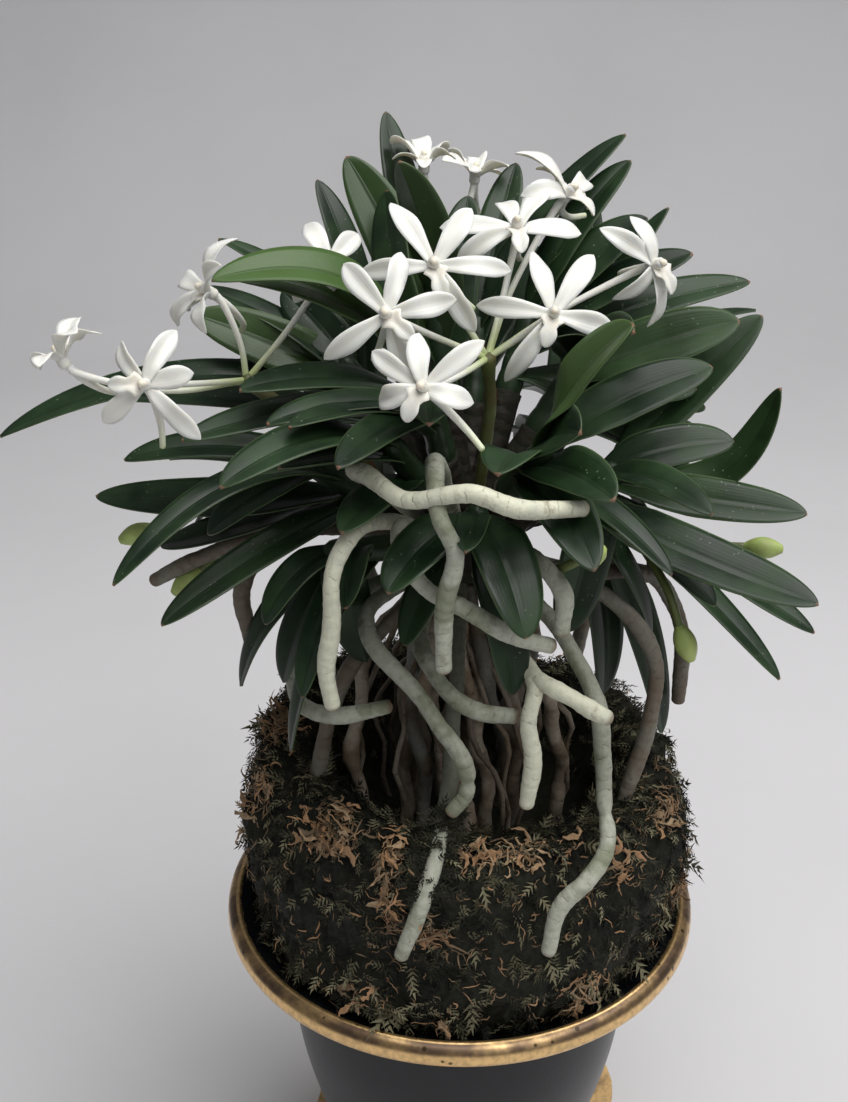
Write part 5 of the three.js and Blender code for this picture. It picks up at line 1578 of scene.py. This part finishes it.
def make_bloom(name, bloom, sizes, material):
    centre, facing, lip, tepals, spur, stalk, cup = bloom
    heart, face = Vector(centre), Vector(facing).normalized()
    right = UP.cross(face)
    right = right.normalized() if right.length > 1e-3 else Vector((1, 0, 0))
    up = face.cross(right)
    cup = math.radians(cup)
    towards = lambda degrees: right * math.cos(math.radians(degrees)) + up * math.sin(math.radians(degrees))
    draw = random.Random(name)
    curl = sizes.tepal_curl / MM
    parts = []
    for angle, length in tepals:
        out = towards(angle) * math.cos(cup) + face * math.sin(cup)
        middle = heart + out * length * 0.55 + face * curl * (0.7 + draw.uniform(-0.45, 0.5))
        tip = heart + out * length - face * curl * (1.2 + draw.uniform(-0.5, 1.3))
        half = tepal_half(sizes.tepal_width / MM * draw.uniform(0.86, 1.0))
        fold, roll, wave = (draw.uniform(-most, most) for most in (0.22, 0.55, 0.3))
        tepal = blade(
            "tepal", "tepal", (heart, middle, tip), face, half, sizes.tepal_thickness / MM, 0.26 + fold,
            roll=roll, groove=0.07, keel=0.09, taper=0.5, wave=wave)
        parts.append(tissue(tepal))
    down = towards(lip)
    curve = (heart, heart + face * 3.6 + down * 2.4, heart + face * 1.6 + down * 7)
    tongue = blade(
        "tepal", "lip", curve, face, lip_half, LIP_THICKNESS, 0.34, groove=0.15, keel=0.1, taper=0.3)
    share = corners(blank("tepal").data)[:, 1]
    parts.append(tissue(tongue, throat=0.35 * np.exp(-(((share - 0.25) / 0.2) ** 2))))

    column_end = heart + face * 2.4 - down * 0.5
    column = [heart - face * 0.6, column_end]
    column = limb("twig", "column", column, lambda share: 1.3 - 0.1 * share, dome=0.7)
    parts.append(tissue(column, throat=0.2))
    cap = [column_end + face * 0.1 - down * 0.3, column_end + face * 0.9 + down * 0.2]
    parts.append(tissue(limb("twig", "cap", cap, lambda share: CAP_RADIUS, dome=0.9), throat=0.7))

    back = heart - face * 1.5
    bend = Vector(spur).normalized()
    reach = sizes.spur_length / MM
    spur_line = [heart, back + bend * reach * 0.25 - face * 1.5, back + bend * reach * 0.7 - face * 1.5,
                 back + bend * reach + face]
    tail = limb("twig", "spur", spur_line, lambda share: sizes.spur_radius / MM * (1.25 - 0.4 * share))
    rings = corners(blank("twig").data)[:, 2]
    way = rings / rings.max()
    parts.append(tissue(tail, green=0.75 * way**2.2))
    node = Vector(STALKS[stalk][-1])
    bow = node.lerp(back, 0.5) - face * 0.1 * (back - node).length
    radius_at = lambda share: sizes.pedicel_radius / MM * (1 - 0.16 * math.sin(math.pi * share) + 0.2 * share)
    pedicel = limb("twig", "pedicel", [node, bow, back, heart], radius_at)
    parts.append(tissue(pedicel, green=1.1 * np.maximum(0, 1 - 1.7 * way)))
    flower = joined(parts, name.replace("bloom", "flower"))
    dress(flower, material)
    settle(flower, "petal", name)


# ------------------------------------------------------------------ leaves

MOST_BEND, BEND_STEP = 28, 4  # degrees
BEND_ANGLES = range(-MOST_BEND, MOST_BEND + 1, BEND_STEP)
BENDS = [(lift, swing) for lift in BEND_ANGLES for swing in BEND_ANGLES]
BENDS.sort(key=lambda bend: math.hypot(*bend))


def leaf_half(width):
    """Strap shaped, a little narrower at its foot, with an acute tip."""
    return lambda share: width / 2 * np.minimum(1, 0.34 + 2 * share) * (1 - share**6) ** 0.65


def leaf_curve(base, leaf, bend):
    """The three points of a leaf's rib, and the way that its face looks, once it is bent clear."""
    x, y, z, _, arch, _ = leaf
    lift, swing = bend
    chord = Vector((x, y, z)) - base
    outwards = Vector((x, y, 0)).normalized() * chord.length * 0.25
    level = (Vector((chord.x, chord.y, 0)) + outwards).normalized()
    side = UP.cross(level)
    chord.rotate(Quaternion(side, -math.radians(lift)))
    chord.rotate(Quaternion(UP, math.radians(swing)))
    side.rotate(Quaternion(UP, math.radians(swing)))
    face = chord.cross(side).normalized()
    return (base, base + chord * 0.45 + face * arch * 1.6, base + chord), face


def seen_bend(node, base, leaf):
    """The bend that the leaf has in the model: the one whose tip is a corner of the node's solid."""
    solid = (corners(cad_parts[node].data) - ORIGIN) / MM
    misses = []
    for bend in BENDS:
        tip = np.array(leaf_curve(base, leaf, bend)[0][2])
        misses.append(np.linalg.norm(solid - tip, axis=1).min())
    return BENDS[int(np.argmin(misses))]


def back_leaves(foot, count, heading):
    """Leaves of a stem on the far side: two ranks, the oldest low and wide apart, the youngest upright."""
    draw = seeded(round(foot[0] * 7 + foot[1] * 3 + 500))
    leaves = []
    for index in range(count):
        age = 1 - index / (count - 1)
        rank = 1 if index % 2 else -1
        way = math.radians(heading + rank * (14 + 30 * age) + draw(-6, 6))
        rise = math.radians(52 - 104 * age + draw(-5, 5))
        length = 44 + 18 * math.sin(math.pi * (0.2 + 0.6 * age)) + draw(-4, 6)
        leaves.append((
            foot[0] + length * math.cos(rise) * math.cos(way),
            foot[1] + length * math.cos(rise) * math.sin(way),
            foot[2] + STEM_LENGTH * 0.6 + length * math.sin(rise),
            draw(7.5, 9.5),
            7 + 6 * age,
            0,
        ))
    return leaves


def make_leafy_stem(name, foot, leaves, sizes, material):
    way = away_from_crown(foot)
    draw = random.Random(name)
    end = Vector(foot) + way * STEM_LENGTH
    sheathed = lambda share: STEM_RADIUS * (1 - 0.2 * share) + 0.25 * abs(math.sin(share * 12))
    stem = limb("twig", "stem", [Vector(foot) + way * 0.4, end], sheathed, dome=1.2)
    paint(stem.data, "shade", 0.12)
    paint(stem.data, "under", 1.0)
    paint(stem.data, "share", 0.3)
    parts = [stem]
    for index, leaf in enumerate(leaves):
        share = 0.2 + 0.75 * index / (len(leaves) - 1)
        base = Vector(foot) + way * STEM_LENGTH * share
        curve, face = leaf_curve(base, leaf, seen_bend(name, base, leaf))
        *_, width, _, roll = leaf
        piece = blade(
            "leaf", "leaf", curve, face, leaf_half(width), sizes.leaf_thickness / MM, sizes.leaf_fold,
            roll=math.radians(roll), groove=0.24, keel=0.2, wave=draw.uniform(-0.05, 0.05))
        shade = YOUNG_LEAVES.get((name, index), max(0.0, draw.gauss(0.12, 0.09)))
        paint(piece.data, "shade", shade)
        parts.append(piece)
    fan = joined(parts, name.replace("fan", "leaves"))
    dress(fan, material)
    settle(fan, "leaf", name)


# ------------------------------------------------------------------ operators

def sizes_of(context):
    return context.scene.orchid_sizes


def colours_of(context):
    return context.scene.orchid_colours


class ORCHID_OT_pot(bpy.types.Operator):
    """Build the glazed pot with its gold lip and feet"""

    bl_idname = "orchid.pot"
    bl_label = "Pot"

    def execute(self, context):
        make_pot(colours_of(context))
        return {"FINISHED"}


class ORCHID_OT_mound(bpy.types.Operator):
    """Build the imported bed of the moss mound"""

    bl_idname = "orchid.mound"
    bl_label = "Moss mound"

    def execute(self, context):
        make_mound(sizes_of(context), colours_of(context))
        return {"FINISHED"}


class ORCHID_OT_fronds(bpy.types.Operator):
    """Cover the mound with live moss fronds"""

    bl_idname = "orchid.fronds"
    bl_label = "Moss fronds"

    def execute(self, context):
        make_fronds(sizes_of(context), colours_of(context))
        return {"FINISHED"}


class ORCHID_OT_dead_moss(bpy.types.Operator):
    """Lay the dead, curled strands on the mound"""

    bl_idname = "orchid.dead_moss"
    bl_label = "Dead moss"

    def execute(self, context):
        make_dead_moss(sizes_of(context), colours_of(context))
        return {"FINISHED"}


class ORCHID_OT_crown(bpy.types.Operator):
    """Build the woody crown and its branches"""

    bl_idname = "orchid.crown"
    bl_label = "Crown"

    def execute(self, context):
        make_crown(colours_of(context))
        return {"FINISHED"}


class ORCHID_OT_live_roots(bpy.types.Operator):
    """Build the thick live roots"""

    bl_idname = "orchid.live_roots"
    bl_label = "Live roots"

    def execute(self, context):
        make_live_roots(sizes_of(context), colours_of(context))
        return {"FINISHED"}


class ORCHID_OT_old_roots(bpy.types.Operator):
    """Build the bunches of old roots in the hollow"""

    bl_idname = "orchid.old_roots"
    bl_label = "Old roots"

    def execute(self, context):
        make_old_roots(sizes_of(context), colours_of(context))
        return {"FINISHED"}


class ORCHID_OT_stalks(bpy.types.Operator):
    """Build the flower stalks with their bracts"""

    bl_idname = "orchid.stalks"
    bl_label = "Flower stalks"

    def execute(self, context):
        make_stalks(sizes_of(context), colours_of(context))
        return {"FINISHED"}


class ORCHID_OT_buds(bpy.types.Operator):
    """Build the sprays of green buds"""

    bl_idname = "orchid.buds"
    bl_label = "Buds"

    def execute(self, context):
        make_buds(sizes_of(context), colours_of(context))
        return {"FINISHED"}


class ORCHID_OT_blooms(bpy.types.Operator):
    """Build the white spurred blooms"""

    bl_idname = "orchid.blooms"
    bl_label = "Blooms"

    def execute(self, context):
        material = petal_material(colours_of(context))
        for name, bloom in BLOOMS.items():
            make_bloom(name, bloom, sizes_of(context), material)
        return {"FINISHED"}


class ORCHID_OT_leaves(bpy.types.Operator):
    """Build the leafy stems"""

    bl_idname = "orchid.leaves"
    bl_label = "Leafy stems"

    def execute(self, context):
        material = leaf_material(colours_of(context))
        stems = dict(LEAFY_STEMS)
        for name, (foot, count, heading) in BACK_STEMS.items():
            stems[name] = (foot, back_leaves(foot, count, heading))
        for name, (foot, leaves) in stems.items():
            make_leafy_stem(name, foot, leaves, sizes_of(context), material)
        return {"FINISHED"}


CAMERA_PLACE = Vector((-9, -326, 264))  # millimetres from the pot's axis at its rim
CAMERA_PITCH = 27.0
SENSOR = 36
CAMERA_LENS = 1600 / 1102 * SENSOR  # a focal length of 1600 pixels in a picture 1102 high
FLOOR_SIZE, FLOOR_CUTS = 6, 60
WALL_FROM, WALL_RISE, WALL_BEND = 0.7, 1.6, 0.35  # metres behind the pot, slope, metres that the bend takes
WORLD_COLOUR, WORLD_STRENGTH = (0.93, 0.94, 0.97, 1), 0.15
# Soft lights: name, place, what it looks at, size in metres, watts, colour and spread in degrees.
LIGHTS = (
    ("overhead", (0.33, -0.18, 1.18), (0.07, -0.02, 0.12), 1.4, 11, (1.0, 0.99, 0.975), 125),
    ("front", (0.5, -1.2, 0.8), (0, 0, 0.15), 0.9, 2.2, (0.96, 0.98, 1.0), 180),
)


def area_light(name, place, aim, size, power, colour, spread):
    light = bpy.data.lights.new(name, "AREA")
    light.shape = "DISK"
    light.size = size
    light.energy = power
    light.spread = math.radians(spread)
    light.color = colour
    lamp = bpy.data.objects.new(name, light)
    bpy.context.collection.objects.link(lamp)
    lamp.location = place
    lamp.rotation_euler = (Vector(aim) - Vector(place)).to_track_quat("-Z", "Y").to_euler()


class ORCHID_OT_stage(bpy.types.Operator):
    """Set up the floor, the backdrop, the lights and the camera"""

    bl_idname = "orchid.stage"
    bl_label = "Stage"

    def execute(self, context):
        deselect()
        bpy.ops.mesh.primitive_plane_add(size=FLOOR_SIZE, location=(0, 0, 0))
        floor = fresh("floor")
        bpy.ops.object.mode_set(mode="EDIT")
        bpy.ops.mesh.select_all(action="SELECT")
        bpy.ops.mesh.subdivide(number_cuts=FLOOR_CUTS)
        bpy.ops.object.mode_set(mode="OBJECT")
        places = corners(floor.data)
        behind = np.maximum(0, places[:, 1] - WALL_FROM)
        places[:, 2] = WALL_RISE * behind**2 / (WALL_BEND + behind)
        move_corners(floor.data, places)
        smooth(floor)
        dress(floor, floor_material(colours_of(context)))

        for light in LIGHTS:
            area_light(*light)
        world = bpy.data.worlds.new("Studio")
        world.use_nodes = True
        background = world.node_tree.nodes["Background"].inputs
        background["Color"].default_value = WORLD_COLOUR
        background["Strength"].default_value = WORLD_STRENGTH
        context.scene.world = world
        context.scene.view_settings.view_transform = "Standard"

        camera = bpy.data.cameras.new("camera")
        camera.lens = CAMERA_LENS
        camera.sensor_width = SENSOR
        holder = bpy.data.objects.new("camera", camera)
        context.collection.objects.link(holder)
        holder.location = AXIS + CAMERA_PLACE * MM
        holder.rotation_euler = (math.radians(90 - CAMERA_PITCH), 0, 0)
        context.scene.camera = holder
        return {"FINISHED"}


PIECES = (
    ORCHID_OT_pot, ORCHID_OT_mound, ORCHID_OT_fronds, ORCHID_OT_dead_moss, ORCHID_OT_crown,
    ORCHID_OT_live_roots, ORCHID_OT_old_roots, ORCHID_OT_stalks, ORCHID_OT_buds, ORCHID_OT_blooms,
    ORCHID_OT_leaves, ORCHID_OT_stage,
)


class ORCHID_PT_sidebar(bpy.types.Panel):
    """Sizes, colours and the pieces to build"""

    bl_label = "Wind orchid"
    bl_idname = "ORCHID_PT_sidebar"
    bl_space_type = "VIEW_3D"
    bl_region_type = "UI"
    bl_category = "Orchid"

    def draw(self, context):
        column = self.layout.column(align=True)
        for piece in PIECES:
            column.operator(piece.bl_idname)
        for group in (sizes_of(context), colours_of(context)):
            box = self.layout.box().column()
            for key in group.__annotations__:
                box.prop(group, key)


CLASSES = (OrchidSizes, OrchidColours, *PIECES, ORCHID_PT_sidebar)


def register():
    for item in CLASSES:
        bpy.utils.register_class(item)
    bpy.types.Scene.orchid_sizes = PointerProperty(type=OrchidSizes)
    bpy.types.Scene.orchid_colours = PointerProperty(type=OrchidColours)


def unregister():
    del bpy.types.Scene.orchid_colours
    del bpy.types.Scene.orchid_sizes
    for item in reversed(CLASSES):
        bpy.utils.unregister_class(item)


def main():
    register()
    bpy.ops.orchid.pot()
    bpy.ops.orchid.mound()
    bpy.ops.orchid.fronds()
    bpy.ops.orchid.dead_moss()
    bpy.ops.orchid.crown()
    bpy.ops.orchid.live_roots()
    bpy.ops.orchid.old_roots()
    bpy.ops.orchid.stalks()
    bpy.ops.orchid.buds()
    bpy.ops.orchid.blooms()
    bpy.ops.orchid.leaves()
    bpy.ops.orchid.stage()
    clear_blanks()


if __name__ == "__main__":
    main()
